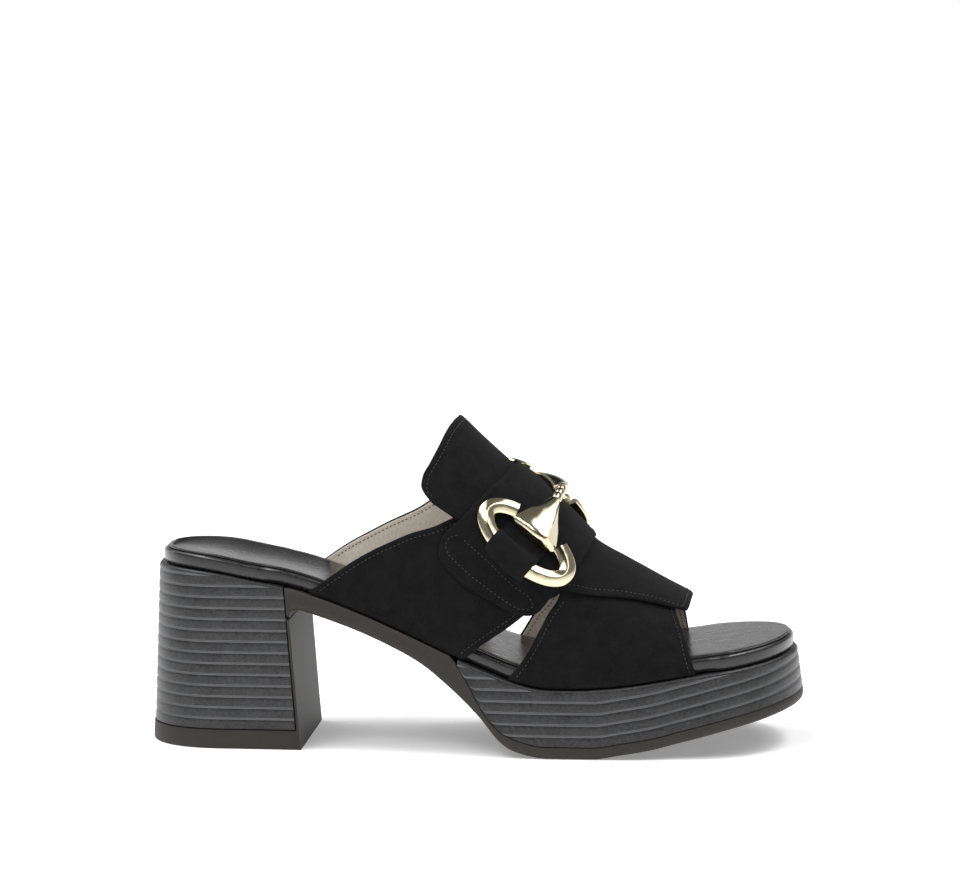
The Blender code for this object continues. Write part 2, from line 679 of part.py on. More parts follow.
def build_ring(name, side, material):
    """A cast ring, open towards the crown where its bell closes it."""
    point, fore, down, up = girth_frame(HALVES[side].ring_along, HALVES[side].ring, RING_REST)
    long_axis, short_axis = (RING_LENGTH - RING_BAND) / 2, (RING_WIDTH - RING_BAND) / 2
    opening = math.acos(min((BELL_WIDE / 2 + GAP) / long_axis, 0.95))
    steps = 26
    sections = []
    for i in range(steps + 1):
        angle = -opening + (math.pi + 2 * opening) * i / steps
        outward = Vector((math.cos(angle) / long_axis, math.sin(angle) / short_axis)).normalized()
        section = []
        for across_band, height in RING_SECTION:
            along = long_axis * math.cos(angle) + outward.x * across_band * RING_BAND
            girth = short_axis * math.sin(angle) + outward.y * across_band * RING_BAND
            section.append(point + fore * along + down * girth + up * height * RING_HEIGHT)
        sections.append(section)
    return loft(name, sections, material)


def build_bell(name, side, material):
    """The flared link from the beads to the ring."""
    half = HALVES[side]
    steps = 9
    sections = []
    for i in range(steps + 1):
        share = i / steps
        along = half.bead_along + (half.ring_along - half.bead_along) * share
        point, fore, down, up = girth_frame(along, half.narrow + (half.wide - half.narrow) * share, BELL_REST)
        width = BELL_NARROW + (BELL_WIDE - BELL_NARROW) * share ** 1.2
        height = BELL_HEIGHT * (0.8 + 0.2 * share)
        if i == steps:
            width, height = 0.86 * width, 0.7 * height
        section = []
        for k in range(10):
            angle = 2 * math.pi * k / 10
            rise = (1 + math.sin(angle)) / 2
            section.append(point + fore * (width / 2 * math.cos(angle)) + up * rise * height)
        sections.append(section)
    return loft(name, sections, material)


def build_knuckle(material):
    """Three beads in a row between the bells."""
    start, end = HALVES[LATERAL], HALVES[MEDIAL]
    length = (on_saddle(end.bead_along, end.narrow, BELL_REST)
              - on_saddle(start.bead_along, start.narrow, BELL_REST)).length
    clear = GAP / length
    steps = 12
    sections = []
    for i in range(steps + 1):
        share = clear + (1 - 2 * clear) * i / steps
        along = start.bead_along + (end.bead_along - start.bead_along) * share
        girth = start.narrow + (end.narrow - start.narrow) * share
        point, fore, down, up = girth_frame(along, girth, BELL_REST)
        radius = NECK_RADIUS + (BEAD_RADIUS - NECK_RADIUS) * abs(math.sin(3 * math.pi * i / steps))
        middle = point + up * BEAD_RADIUS
        section = []
        for k in range(10):
            angle = 2 * math.pi * k / 10
            section.append(middle + fore * (radius * math.cos(angle)) + up * (radius * math.sin(angle)))
        sections.append(section)
    return loft("centre_knuckle", sections, material)


def build_keeper(name, side, material):
    """The narrow loop of suede over the ring's outer bar, tucked into the saddle strap at both ends."""
    half = HALVES[side]
    point, fore, down, up = girth_frame(half.ring_along, half.ring, RING_REST)
    long_axis, short_axis = (RING_LENGTH - RING_BAND) / 2, (RING_WIDTH - RING_BAND) / 2
    high = RING_HEIGHT + 2 * GAP
    sections = []
    for share in (-0.5, -0.25, 0.0, 0.25, 0.5):
        along = KEEPER_SHIFT + share * KEEPER_WIDTH
        sag = short_axis * (1 - math.sqrt(1 - (along / long_axis) ** 2))
        bar_in = RING_WIDTH / 2 - RING_BAND - KEEPER_EASE - sag
        bar_out = RING_WIDTH / 2 + 2 * GAP - sag
        inner, _, _, inner_up = girth_frame(half.ring_along + along, half.keeper_in, GAP)
        outer, _, _, outer_up = girth_frame(half.ring_along + along, half.keeper_out, GAP)
        path = [(inner, inner_up)]
        for girth, height, lean in (
            (bar_in, 0.6 * high, -1.0), (bar_in + 0.8 * KEEPER_EASE, high, -0.4),
            ((bar_in + bar_out) / 2, high, 0.0), (bar_out, 0.9 * high, 0.7),
            (bar_out + 0.25 * KEEPER_EASE, 0.2 * high, 1.6),
        ):
            place = point + fore * along + down * girth + up * height
            path.append((place, (up + down * lean).normalized()))
        path.append((outer, (outer_up + down).normalized()))
        under = [place for place, out in path]
        over = [place + out * KEEPER_WALL for place, out in path]
        sections.append(under + over[::-1])
    return loft(name, sections, material)


def build():
    for old in list(bpy.data.objects):
        bpy.data.objects.remove(old, do_unlink=True)
    rubber = finish("moulded rubber", (0.20, 0.19, 0.18), 0.55)
    stack = finish("stacked wall", (0.20, 0.215, 0.23), 0.45)
    leather = finish("black leather", (0.09, 0.09, 0.095), 0.38)
    suede = finish("black suede", (0.075, 0.073, 0.078), 0.95)
    gold = finish("pale gold casting", (0.86, 0.80, 0.64), 0.18, 1.0)
    build_heel_lift(rubber)
    build_heel_block(stack)
    build_outsole(rubber)
    build_platform(stack)
    build_footbed(leather)
    build_sock(leather)
    build_upper(suede)
    build_plug(suede)
    build_saddle(suede)
    for side, word in ((LATERAL, "lateral"), (MEDIAL, "medial")):
        build_keeper("keeper_" + word, side, suede)
        build_ring("ring_" + word, side, gold)
        build_bell("bell_" + word, side, gold)
    build_knuckle(gold)


build()
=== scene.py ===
"""Looks of the right-foot platform slide sandal, on a pale floor in soft studio light."""
import math

import bmesh
import bpy
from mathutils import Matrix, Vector


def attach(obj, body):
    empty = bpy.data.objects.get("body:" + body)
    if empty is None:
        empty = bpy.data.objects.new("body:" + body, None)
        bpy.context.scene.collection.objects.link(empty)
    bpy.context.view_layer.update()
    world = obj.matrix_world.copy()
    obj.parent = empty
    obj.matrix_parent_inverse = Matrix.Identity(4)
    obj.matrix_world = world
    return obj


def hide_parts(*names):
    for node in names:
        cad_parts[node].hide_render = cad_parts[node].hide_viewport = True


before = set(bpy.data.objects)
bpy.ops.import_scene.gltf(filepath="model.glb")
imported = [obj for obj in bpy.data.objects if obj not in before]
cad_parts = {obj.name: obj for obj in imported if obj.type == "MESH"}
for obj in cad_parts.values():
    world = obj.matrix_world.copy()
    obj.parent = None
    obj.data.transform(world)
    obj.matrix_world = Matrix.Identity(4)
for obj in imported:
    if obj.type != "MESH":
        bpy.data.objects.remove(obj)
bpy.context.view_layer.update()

scene = bpy.context.scene

# The rubber sole
# One injection-moulded thermoplastic rubber bottom: it wraps the waist and the forefoot, and a separate
# rubber top piece and breast plate are glued to the heel. Moulding leaves a smooth, faintly dusty satin.
LATERAL, MEDIAL = -1, 1
LENGTH, BALL_WIDTH, HEEL_WIDTH, WAIST_WIDTH = 0.248, 0.0888, 0.062, 0.061
HEEL_HEIGHT, PLATFORM_HEIGHT = 0.0676, 0.0252
TOE_RISE, TOE_SPRING = 0.0117, 0.0165
HEEL_ROUND, TOE_ROUND, TOE_CENTRE = 0.030, 0.043, 0.007
HEEL_SQUARENESS, TOE_SQUARENESS = 2.2, {LATERAL: 2.0, MEDIAL: 2.2}
ORIGIN = Vector((LENGTH / 2, 0.0020345, 0.0))
GAP, LAYER_GAP = 0.0003, 0.0005
OUTSOLE, WAIST_EDGE = 0.0044, 0.0024
HEEL_BASE, HEEL_RAKE, BREAST_RAKE, HEEL_TAPER = 0.060, 0.0026, 0.0056, 0.03
LIFT, LIFT_PROUD, LIFT_CHAMFER = 0.0073, 0.0003, 0.0008
BREAST_PLATE, BREAST_FILLET = 0.0009, 0.0042
BREAK_DOWN, BREAK_IN = 0.0004, 0.0003      # the small chamfer on the rubber's upper edges
HEEL_STEPS, MIDDLE_STEPS, TOE_STEPS, CLEAR_STEP = 18, 90, 26, 0.0006


def smooth(rows):
    """A curve through rows of (place, value) that never swings past a row's value."""
    places, values = [row[0] for row in rows], [row[1] for row in rows]
    grades = [(values[i + 1] - values[i]) / (places[i + 1] - places[i]) for i in range(len(rows) - 1)]
    slopes = [grades[0]]
    for before, after in zip(grades, grades[1:]):
        slopes.append(0.0 if before * after <= 0 else 2 * before * after / (before + after))
    slopes.append(grades[-1])

    def value(place):
        place = min(max(place, places[0]), places[-1])
        i = next((k for k in range(len(rows) - 2) if place < places[k + 1]), len(rows) - 2)
        span = places[i + 1] - places[i]
        u = (place - places[i]) / span
        from_left = (1 + 2 * u) * values[i] + u * span * slopes[i]
        from_right = (3 - 2 * u) * values[i + 1] + (u - 1) * span * slopes[i + 1]
        return (1 - u) ** 2 * from_left + u * u * from_right

    return value


half_width = {
    LATERAL: smooth([
        (0.10, HEEL_WIDTH * 0.492), (0.20, HEEL_WIDTH * 0.503), (0.32, WAIST_WIDTH * 0.533),
        (0.42, BALL_WIDTH * 0.400), (0.52, BALL_WIDTH * 0.452), (0.63, BALL_WIDTH * 0.478),
        (0.74, BALL_WIDTH * 0.476), (0.83, BALL_WIDTH * 0.447), (1.0, BALL_WIDTH * 0.447),
    ]),
    MEDIAL: smooth([
        (0.10, HEEL_WIDTH * 0.492), (0.20, HEEL_WIDTH * 0.497), (0.32, WAIST_WIDTH * 0.467),
        (0.42, BALL_WIDTH * 0.340), (0.52, BALL_WIDTH * 0.412), (0.63, BALL_WIDTH * 0.490),
        (0.74, BALL_WIDTH * 0.524), (0.83, BALL_WIDTH * 0.521), (1.0, BALL_WIDTH * 0.521),
    ]),
}
deck_drop = smooth([
    (0.00, 1.010), (0.05, 0.995), (0.10, 0.970), (0.16, 0.905), (0.22, 0.835), (0.28, 0.730), (0.34, 0.595),
    (0.40, 0.445), (0.46, 0.290), (0.52, 0.150), (0.57, 0.045), (0.61, 0.003), (0.65, 0.0), (1.0, 0.0),
])
deck_climb = smooth([
    (0.0, 0.0), (0.65, 0.0), (0.70, 0.06), (0.76, 0.22), (0.83, 0.46), (0.88, 0.61), (0.93, 0.75),
    (1.0, 0.97),
])
tread_climb = smooth([
    (0.0, 0.0), (0.68, 0.0), (0.72, 0.09), (0.77, 0.22), (0.81, 0.37), (0.87, 0.60), (0.93, 0.79), (1.0, 1.0),
])
arch = smooth([
    (0.20, 0.823), (0.22, 0.797), (0.27, 0.740), (0.32, 0.675), (0.37, 0.597), (0.42, 0.502), (0.46, 0.390),
    (0.49, 0.293), (0.515, 0.200), (0.54, 0.088), (0.56, 0.038), (0.585, 0.012), (0.61, 0.0), (1.0, 0.0),
])
seam_climb = smooth([
    (0.20, 0.90), (0.40, 0.80), (0.468, 0.479), (0.496, 0.322), (0.515, 0.197), (0.53, 0.121), (0.545, 0.070),
    (0.575, 0.022), (0.61, 0.0), (1.0, 0.0),
])
side_lean = smooth([(0.0, 0.0), (0.25, 0.0004), (0.5, 0.0012), (0.9, 0.0014), (1.0, 0.0028)])


def edge(x, side):
    """y of the sole's outline, on one side."""
    full = side * half_width[side](x / LENGTH)
    if x < HEEL_ROUND:
        u = 1 - max(x, 0.0) / HEEL_ROUND
        return full * (1 - u ** HEEL_SQUARENESS) ** (1 / HEEL_SQUARENESS)
    if x > LENGTH - TOE_ROUND:
        u = min(1 - (LENGTH - x) / TOE_ROUND, 1.0)
        power = TOE_SQUARENESS[side]
        return TOE_CENTRE + (full - TOE_CENTRE) * (1 - u ** power) ** (1 / power)
    return full


def rim(x, side, inset):
    """Point of the sole's outline at x, moved inwards square to the outline."""
    step = 0.0001
    if x < step:
        return inset, 0.0
    if x > LENGTH - step:
        return LENGTH - inset, TOE_CENTRE
    along = Vector((2 * step, edge(x + step, side) - edge(x - step, side))).normalized()
    return x + side * along.y * inset, edge(x, side) - side * along.x * inset


def deck(x):
    """Height of the top of heel, waist and platform."""
    place = x / LENGTH
    return PLATFORM_HEIGHT + (HEEL_HEIGHT - PLATFORM_HEIGHT) * deck_drop(place) + TOE_RISE * deck_climb(place)


def breast(z):
    """x of the heel's front face."""
    return HEEL_BASE - BREAST_RAKE * z / HEEL_HEIGHT


BREAST_TOP = breast(HEEL_HEIGHT * arch(HEEL_BASE / LENGTH))


def tread(x):
    """Height of the rubber's underside, with the fillet where it runs down into the heel's breast."""
    height = HEEL_HEIGHT * arch(x / LENGTH) + TOE_SPRING * tread_climb(x / LENGTH)
    into_fillet = min((BREAST_TOP + BREAST_FILLET - x) / BREAST_FILLET, 1.0)
    if into_fillet > 0:
        height -= BREAST_FILLET * (1 - math.sqrt(1 - into_fillet ** 2))
    return height


def seam(x):
    """Height of the joint between outsole and platform."""
    return OUTSOLE + TOE_SPRING * tread_climb(x / LENGTH) + HEEL_HEIGHT * seam_climb(x / LENGTH)


def heel_point(share, side, z, inset):
    """Point of the heel's side wall: share runs from its back, 0, to its breast, 1."""
    x, y = rim(share * HEEL_BASE, side, inset)
    back = HEEL_RAKE * z / HEEL_HEIGHT
    taper = 1 - HEEL_TAPER * (1 - z / HEEL_HEIGHT)
    return Vector((back + x * (breast(z) - back) / HEEL_BASE, y * taper, z))


def deck_inset(x):
    """How far the deck's edge stands in from the sole's outline."""
    return side_lean(x / LENGTH) + HEEL_RAKE * max(0.0, 1 - x / HEEL_ROUND) ** 2


def wall_point(x, side, z, inset):
    """Point of the side wall of outsole or platform, which leans in from the floor to the deck."""
    lean = deck_inset(x) * min(max((z - tread(x)) / max(deck(x) - tread(x), OUTSOLE), 0.0), 1.0)
    px, py = rim(x, side, inset + lean)
    return Vector((px, py, z))


def round_sides(wall):
    """A ring of points: up the lateral wall, then down the medial one."""
    return wall(LATERAL) + wall(MEDIAL)[::-1]


def places(first, last):
    """Close places along the sole, closer still round the toe and the heel."""
    xs = [HEEL_ROUND * (1 - math.cos(math.pi / 2 * i / HEEL_STEPS)) for i in range(HEEL_STEPS)]
    start, end = HEEL_ROUND, LENGTH - TOE_ROUND
    xs += [start + (end - start) * i / MIDDLE_STEPS for i in range(MIDDLE_STEPS)]
    xs += [end + TOE_ROUND * math.sin(math.pi / 2 * i / TOE_STEPS) for i in range(TOE_STEPS + 1)]
    return [first] + [x for x in xs if first + CLEAR_STEP < x < last - CLEAR_STEP] + [last]


def turning_point(passes, low, high):
    """Where passes turns from false to true, between low and high."""
    for _ in range(30):
        middle = (low + high) / 2
        if passes(middle):
            high = middle
        else:
            low = middle
    return (low + high) / 2


def skin(name, points, faces, finishes, chosen=None, sharp=None):
    """Make a piece from points and faces, joining equal points and leaving out faces shrunk to a line."""
    model = bmesh.new()
    corners, index = {}, []
    for point in points:
        key = tuple(round(c * 2e6) for c in point)
        if key not in corners:
            corners[key] = model.verts.new(Vector(point) - ORIGIN)
        index.append(corners[key])
    for n, face in enumerate(faces):
        ring = []
        for i in face:
            if index[i] not in ring:
                ring.append(index[i])
        if len(ring) > 2 and model.faces.get(ring) is None:
            made = model.faces.new(ring)
            made.smooth = True
            made.material_index = chosen[n] if chosen else 0
    bmesh.ops.recalc_face_normals(model, faces=model.faces)
    mesh = bpy.data.meshes.new(name)
    model.to_mesh(mesh)
    model.free()
    for finish in finishes:
        mesh.materials.append(finish)
    if sharp:
        mesh.set_sharp_from_angle(angle=math.radians(sharp))
    piece = bpy.data.objects.new(name, mesh)
    scene.collection.objects.link(piece)
    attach(piece, "root")
    return piece


def loft(name, sections, finishes, around=None, caps=(True, True), sharp=None):
    """Skin equal rings of points; around lists the finish of each face round a ring."""
    count = len(sections[0])
    points = [point for section in sections for point in section]
    faces, chosen = [], []
    for i in range(len(sections) - 1):
        for k in range(count):
            here, following = i * count + k, i * count + (k + 1) % count
            faces.append((here, following, following + count, here + count))
            chosen.append(around[k] if around else 0)
    for wanted, start in ((caps[0], 0), (caps[1], len(points) - count)):
        if wanted:
            faces.append(tuple(range(start, start + count)))
            chosen.append(0)
    return skin(name, points, faces, finishes, chosen, sharp)


def linear(code):
    """Linear colour from an sRGB hex code."""
    shares = [int(code[i:i + 2], 16) / 255 for i in (1, 3, 5)]
    return tuple(c / 12.92 if c <= 0.04045 else ((c + 0.055) / 1.055) ** 2.4 for c in shares) + (1.0,)


def node(tree, kind, inputs=None, **settings):
    """Add a node. An input takes a plain value, or a link given as (node, output)."""
    made = tree.nodes.new(kind)
    for key, value in settings.items():
        setattr(made, key, value)
    for key, value in (inputs or {}).items():
        if isinstance(value, tuple) and isinstance(value[0], bpy.types.Node):
            tree.links.new(value[0].outputs[value[1]], made.inputs[key])
        else:
            made.inputs[key].default_value = value
    return made


def finish_named(name, **sockets):
    """A new material with its shader, and a coordinate node that measures in millimetres."""
    material = bpy.data.materials.new(name)
    material.use_nodes = True
    tree = material.node_tree
    shader = tree.nodes["Principled BSDF"]
    for key, value in sockets.items():
        shader.inputs[key.replace("_", " ")].default_value = value
    place = node(tree, "ShaderNodeTexCoord")
    millimetres = node(tree, "ShaderNodeMapping", {"Vector": (place, "Object"), "Scale": (1000, 1000, 1000)})
    return material, tree, shader, millimetres


def feed(shader, **sources):
    """Link (node, output) pairs to a shader's inputs."""
    for key, (source, output) in sources.items():
        shader.id_data.links.new(source.outputs[output], shader.inputs[key.replace("_", " ")])


def set_stops(ramp, stops):
    """Give a colour ramp its places and colours."""
    for place, colour in stops[1:-1]:
        ramp.elements.new(place)
    for stop, (place, colour) in zip(ramp.elements, stops):
        stop.position, stop.color = place, colour


# Thermoplastic rubber, moulded: dark warm grey, with a broad dull highlight.
moulded_rubber, tree, shader, at = finish_named("moulded_rubber", Roughness=0.58, IOR=1.42)
cloud = node(tree, "ShaderNodeTexNoise", {"Vector": (at, 0), "Scale": 1 / 14, "Detail": 4.0})
tone = node(tree, "ShaderNodeMix", {"Factor": (cloud, 0), "A": linear("#23201d"), "B": linear("#2c2825")},
            data_type="RGBA")
grit = node(tree, "ShaderNodeTexNoise", {"Vector": (at, 0), "Scale": 1 / 0.5, "Detail": 3.0})
bump = node(tree, "ShaderNodeBump", {"Height": (grit, 0), "Strength": 0.12, "Distance": 0.0001})
feed(shader, Base_Color=(tone, "Result"), Normal=(bump, 0))

# The same rubber where it meets the floor: a fine moulded wave, 2.6 mm from crest to crest, for grip.
tread_rubber, tree, shader, at = finish_named("tread_rubber", Base_Color=linear("#1d1b19"), Roughness=0.7,
                                              IOR=1.52)
wave = node(tree, "ShaderNodeTexWave", {"Vector": (at, 0), "Scale": 0.12, "Distortion": 1.6, "Detail": 0.0,
                                        "Detail Scale": 0.6}, bands_direction="X", wave_profile="SIN")
bump = node(tree, "ShaderNodeBump", {"Height": (wave, "Fac"), "Strength": 0.8, "Distance": 0.0006})
feed(shader, Normal=(bump, 0))

edge_round = [(0.0, 1.0), (0.06, 0.64), (0.2, 0.36), (0.42, 0.15), (0.7, 0.03), (1.0, 0.0)]
xs = [BREAST_TOP + BREAST_FILLET * share for share in (0.05, 0.12, 0.25, 0.4, 0.6, 0.8)]
xs = [BREAST_TOP - BREAST_PLATE, BREAST_TOP] + xs + places(BREAST_TOP + BREAST_FILLET, LENGTH)
sections = []
for i, x in enumerate(xs):
    low, high = tread(max(x, BREAST_TOP)), min(seam(x), deck(x))
    levels = [(low + z * WAIST_EDGE, inset * WAIST_EDGE) for z, inset in edge_round]
    levels += [(high - BREAK_DOWN, 0.0), (high, BREAK_IN)]
    ring = round_sides(lambda side: [wall_point(x, side, z, inset) for z, inset in levels])
    if i < 2:
        back = BREAST_PLATE if i == 0 else 0.0
        ring = [Vector((breast(p.z) - back, p.y, p.z)) for p in ring]
    sections.append(ring)
outsole = loft("rubber_outsole", sections, [moulded_rubber, tread_rubber],
               around=[0] * (len(ring) - 1) + [1], caps=(True, False), sharp=40)
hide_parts("outsole")

top = tread(BREAST_TOP) - GAP
plate = 1 - BREAST_PLATE / (breast(HEEL_HEIGHT) - HEEL_RAKE)
shares = [x / HEEL_BASE for x in places(0.0, HEEL_BASE) if x / HEEL_BASE < plate - 0.01]
lift_round = [(0.0, 1.0), (0.1, 0.55), (0.4, 0.15), (1.0, 0.0)]
sections = []
for share, height in [(s, LIFT) for s in shares] + [(plate, LIFT), (plate, top), (1.0, top)]:
    levels = [(z * LIFT_CHAMFER, inset * LIFT_CHAMFER - LIFT_PROUD) for z, inset in lift_round]
    levels += [(LIFT - BREAK_IN, -LIFT_PROUD), (LIFT, -LIFT_PROUD * 0.3), (height, -LIFT_PROUD)]
    sections.append(round_sides(lambda side: [heel_point(share, side, z, inset) for z, inset in levels]))
sections[0] = [Vector((p.x, 0.0, p.z)) for p in sections[0]]
lift = loft("heel_top_piece", sections, [moulded_rubber, tread_rubber],
            around=[0] * (len(sections[0]) - 1) + [1], caps=(False, True), sharp=40)
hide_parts("heel_lift")

# The stacked heel and platform
# Moulded ABS heel and light platform, wrapped and printed to look like stacked leather layers 4.15 mm
# thick: each layer is blue-grey with a dark grain, and a fine paler line shows where two layers meet.
RIB_PITCH, RIB_GROOVE, RIB_GROOVE_WIDTH, LIP = 0.00415, 0.0004, 0.0008, 0.0011

layer_leather, tree, shader, at = finish_named("stacked_layers", Roughness=0.38, IOR=1.45)
long_grain = node(tree, "ShaderNodeMapping", {"Vector": (at, 0), "Scale": (0.7, 0.7, 1.0)})
grain = node(tree, "ShaderNodeTexNoise", {"Vector": (long_grain, 0), "Scale": 1 / 0.8, "Detail": 3.0,
                                          "Roughness": 0.7})
cloud = node(tree, "ShaderNodeTexNoise", {"Vector": (at, 0), "Scale": 1 / 9, "Detail": 3.0})
both = node(tree, "ShaderNodeMix", {"Factor": 0.3, "A": (grain, 0), "B": (cloud, 0)}, data_type="FLOAT")
tone = node(tree, "ShaderNodeValToRGB", {"Fac": (both, 0)})
set_stops(tone.color_ramp, [(0.38, linear("#0a0a0b")), (0.60, linear("#2d2d2e"))])
bump = node(tree, "ShaderNodeBump", {"Height": (grain, 0), "Strength": 0.4, "Distance": 0.0002})
feed(shader, Base_Color=(tone, 0), Normal=(bump, 0))

layer_line, *_ = finish_named("layer_line", Base_Color=linear("#56575a"), Roughness=0.45, IOR=1.5)


def rib_levels(first, low, high, count):
    """Heights, insets and finish up a layered wall, with a fine groove at each pitch."""
    groove = ((-1.9, 0.0, 0), (-0.5, 0.15, 1), (0.0, 1.0, 1), (0.5, 0.15, 0), (1.9, 0.0, 0))
    levels = [(low, 0.0, 0)]
    for k in range(1, count + 1):
        middle = first + k * RIB_PITCH
        whole = low < middle - RIB_GROOVE_WIDTH / 2 and middle + RIB_GROOVE_WIDTH / 2 < high
        for offset, depth, line in groove:
            z = min(max(middle + offset * RIB_GROOVE_WIDTH, low), high)
            levels.append((z, depth * RIB_GROOVE if whole else 0.0, line))
    return levels + [(high, 0.0, 0)]


def lip(height):
    """The rounded top edge of a layered wall."""
    return [(height - LIP * (1 - math.sin(a)), LIP * (1 - math.cos(a)), 0) for a in (0.4, 0.8, 1.2, 1.57)]


def layer_finishes(levels):
    """Finish of each face round a layered ring: 1 on the pale lines, 0 elsewhere."""
    up = [line for z, inset, line in levels[:-1]]
    return up + [0] + up[::-1] + [0]


front = 1 - (BREAST_PLATE + 1.5 * GAP) / (breast(HEEL_HEIGHT) - HEEL_RAKE)
shares = [x / HEEL_BASE for x in places(0.0, HEEL_BASE) if x / HEEL_BASE < front - 0.01] + [front]
sections = []
for share in shares:
    seat = deck(share * breast(HEEL_HEIGHT) + HEEL_RAKE * (1 - share))
    levels = rib_levels(LIFT, LIFT + GAP, seat - LIP, 15) + lip(seat)
    sections.append(round_sides(lambda side: [heel_point(share, side, z, inset) for z, inset, _ in levels]))
sections[0] = [Vector((p.x, 0.0, p.z)) for p in sections[0]]
heel = loft("stacked_heel", sections, [layer_leather, layer_line], layer_finishes(levels), caps=(False, True),
            sharp=60)
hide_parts("heel_block")


def platform_levels(x, side):
    """Levels of the platform's wall, from its joint with the outsole to the deck."""
    flat_seam = OUTSOLE + TOE_SPRING * tread_climb(x / LENGTH)
    high = deck(rim(x, side, deck_inset(x))[0])
    return rib_levels(flat_seam, seam(x) + GAP, high - LIP, 11) + lip(high)


platform_back = turning_point(lambda x: deck(x) - seam(x) >= 2 * LIP + GAP, 0.40 * LENGTH, 0.61 * LENGTH)
sections = []
for x in places(platform_back, LENGTH):
    sections.append(round_sides(
        lambda side: [wall_point(x, side, z, inset) for z, inset, line in platform_levels(x, side)]))
platform = loft("stacked_platform", sections, [layer_leather, layer_line],
                layer_finishes(platform_levels(LENGTH, MEDIAL)), caps=(True, False), sharp=60)
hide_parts("platform")

# The footbed and its sock
# A cushioned board wrapped in thin black nappa, drawn tight over the edge and lasted underneath, with a
# sock of the same leather glued on top. Plating at the tannery leaves it glossy with a fine grain.
FOOTBED, FOOTBED_ROLL, SOCK, SOCK_MARGIN = 0.0055, 0.0014, 0.0006, 0.0003
HEEL_CUP, CUP_PLACE, CUP_REACH = 0.0016, 0.14, 0.05
DISH_SHARES = (-0.9, -0.75, -0.5, -0.25, 0.0, 0.25, 0.5, 0.75, 0.9)
UPPER_WALL, FOOT_INSET = 0.0022, 0.0005
footbed_inset = smooth([
    (0.0, 0.0018), (0.12, 0.0010), (0.19, 0.0012), (0.215, 0.0), (0.85, 0.0), (0.88, 0.0013), (1.0, 0.0014),
])
under_straps = smooth([(0.0, 0.0), (0.18, 0.0), (0.215, 1.0), (0.85, 1.0), (0.88, 0.0), (1.0, 0.0)])

nappa, tree, shader, at = finish_named("black_nappa", IOR=1.5, Coat_Weight=0.2, Coat_Roughness=0.14)
pores = node(tree, "ShaderNodeTexVoronoi", {"Vector": (at, 0), "Scale": 1 / 0.9}, feature="F1")
folds = node(tree, "ShaderNodeTexNoise", {"Vector": (at, 0), "Scale": 0.25, "Detail": 5.0, "Distortion": 0.8})
tone = node(tree, "ShaderNodeMix", {"Factor": (folds, 0), "A": linear("#0f0f10"), "B": linear("#1b1b1c")},
            data_type="RGBA")
relief = node(tree, "ShaderNodeMix", {"Factor": 0.6, "A": (pores, 0), "B": (folds, 0)}, data_type="FLOAT")
bump = node(tree, "ShaderNodeBump", {"Height": (relief, 0), "Strength": 0.25, "Distance": 0.0004})
gloss = node(tree, "ShaderNodeMapRange", {"Value": (folds, 0), "To Min": 0.2, "To Max": 0.38})
feed(shader, Base_Color=(tone, "Result"), Normal=(bump, 0), Roughness=(gloss, 0))


def footbed_edge(x):
    """Inset of the footbed from the sole's outline; under the straps it leaves room for their wall."""
    place = x / LENGTH
    return deck_inset(x) + under_straps(place) * (FOOT_INSET + UPPER_WALL + 2 * GAP) + footbed_inset(place)


def bed_ring(x, levels, underside):
    """A ring of the footbed or sock: walls by levels, and a dished top."""
    walls = []
    for side in (LATERAL, MEDIAL):
        spots = [rim(x, side, inset) for z, inset in levels]
        walls.append([Vector((px, py, deck(px) + z)) for (px, py), (z, inset) in zip(spots, levels)])
    dip = HEEL_CUP * max(0.0, 1 - (x / LENGTH - CUP_PLACE) ** 2 / CUP_REACH)

    def across(level):
        start, end = walls[0][level], walls[1][level]
        return [start.lerp(end, (s + 1) / 2) - Vector((0, 0, dip * (1 - s * s))) for s in DISH_SHARES]

    return walls[0] + across(-1) + walls[1][::-1] + (across(0)[::-1] if underside else [])


sections = []
for x in places(0.0, LENGTH):
    base = footbed_edge(x)
    levels = [(GAP, base + 0.0009), (GAP + 0.0007, base + 0.0002), (GAP + 0.4 * FOOTBED, base)]
    for angle in (0.0, 0.35, 0.7, 1.05, 1.35, 1.57):
        levels.append((GAP + FOOTBED - FOOTBED_ROLL * (1 - math.sin(angle)),
                       base + 0.0001 + FOOTBED_ROLL * (1 - math.cos(angle))))
    sections.append(bed_ring(x, levels, False))
footbed = loft("wrapped_footbed", sections, [nappa], caps=(False, False))
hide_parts("footbed")

sections = []
for x in places(0.0, LENGTH):
    base = footbed_edge(x) + FOOTBED_ROLL + SOCK_MARGIN
    low = 2 * GAP + FOOTBED
    levels = [(low, base), (low + 0.6 * SOCK, base), (low + 0.9 * SOCK, base + 0.0002),
              (low + SOCK, base + 0.0007)]
    sections.append(bed_ring(x, levels, True))
sock = loft("leather_sock", sections, [nappa], caps=(False, False), sharp=50)
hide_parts("sock")

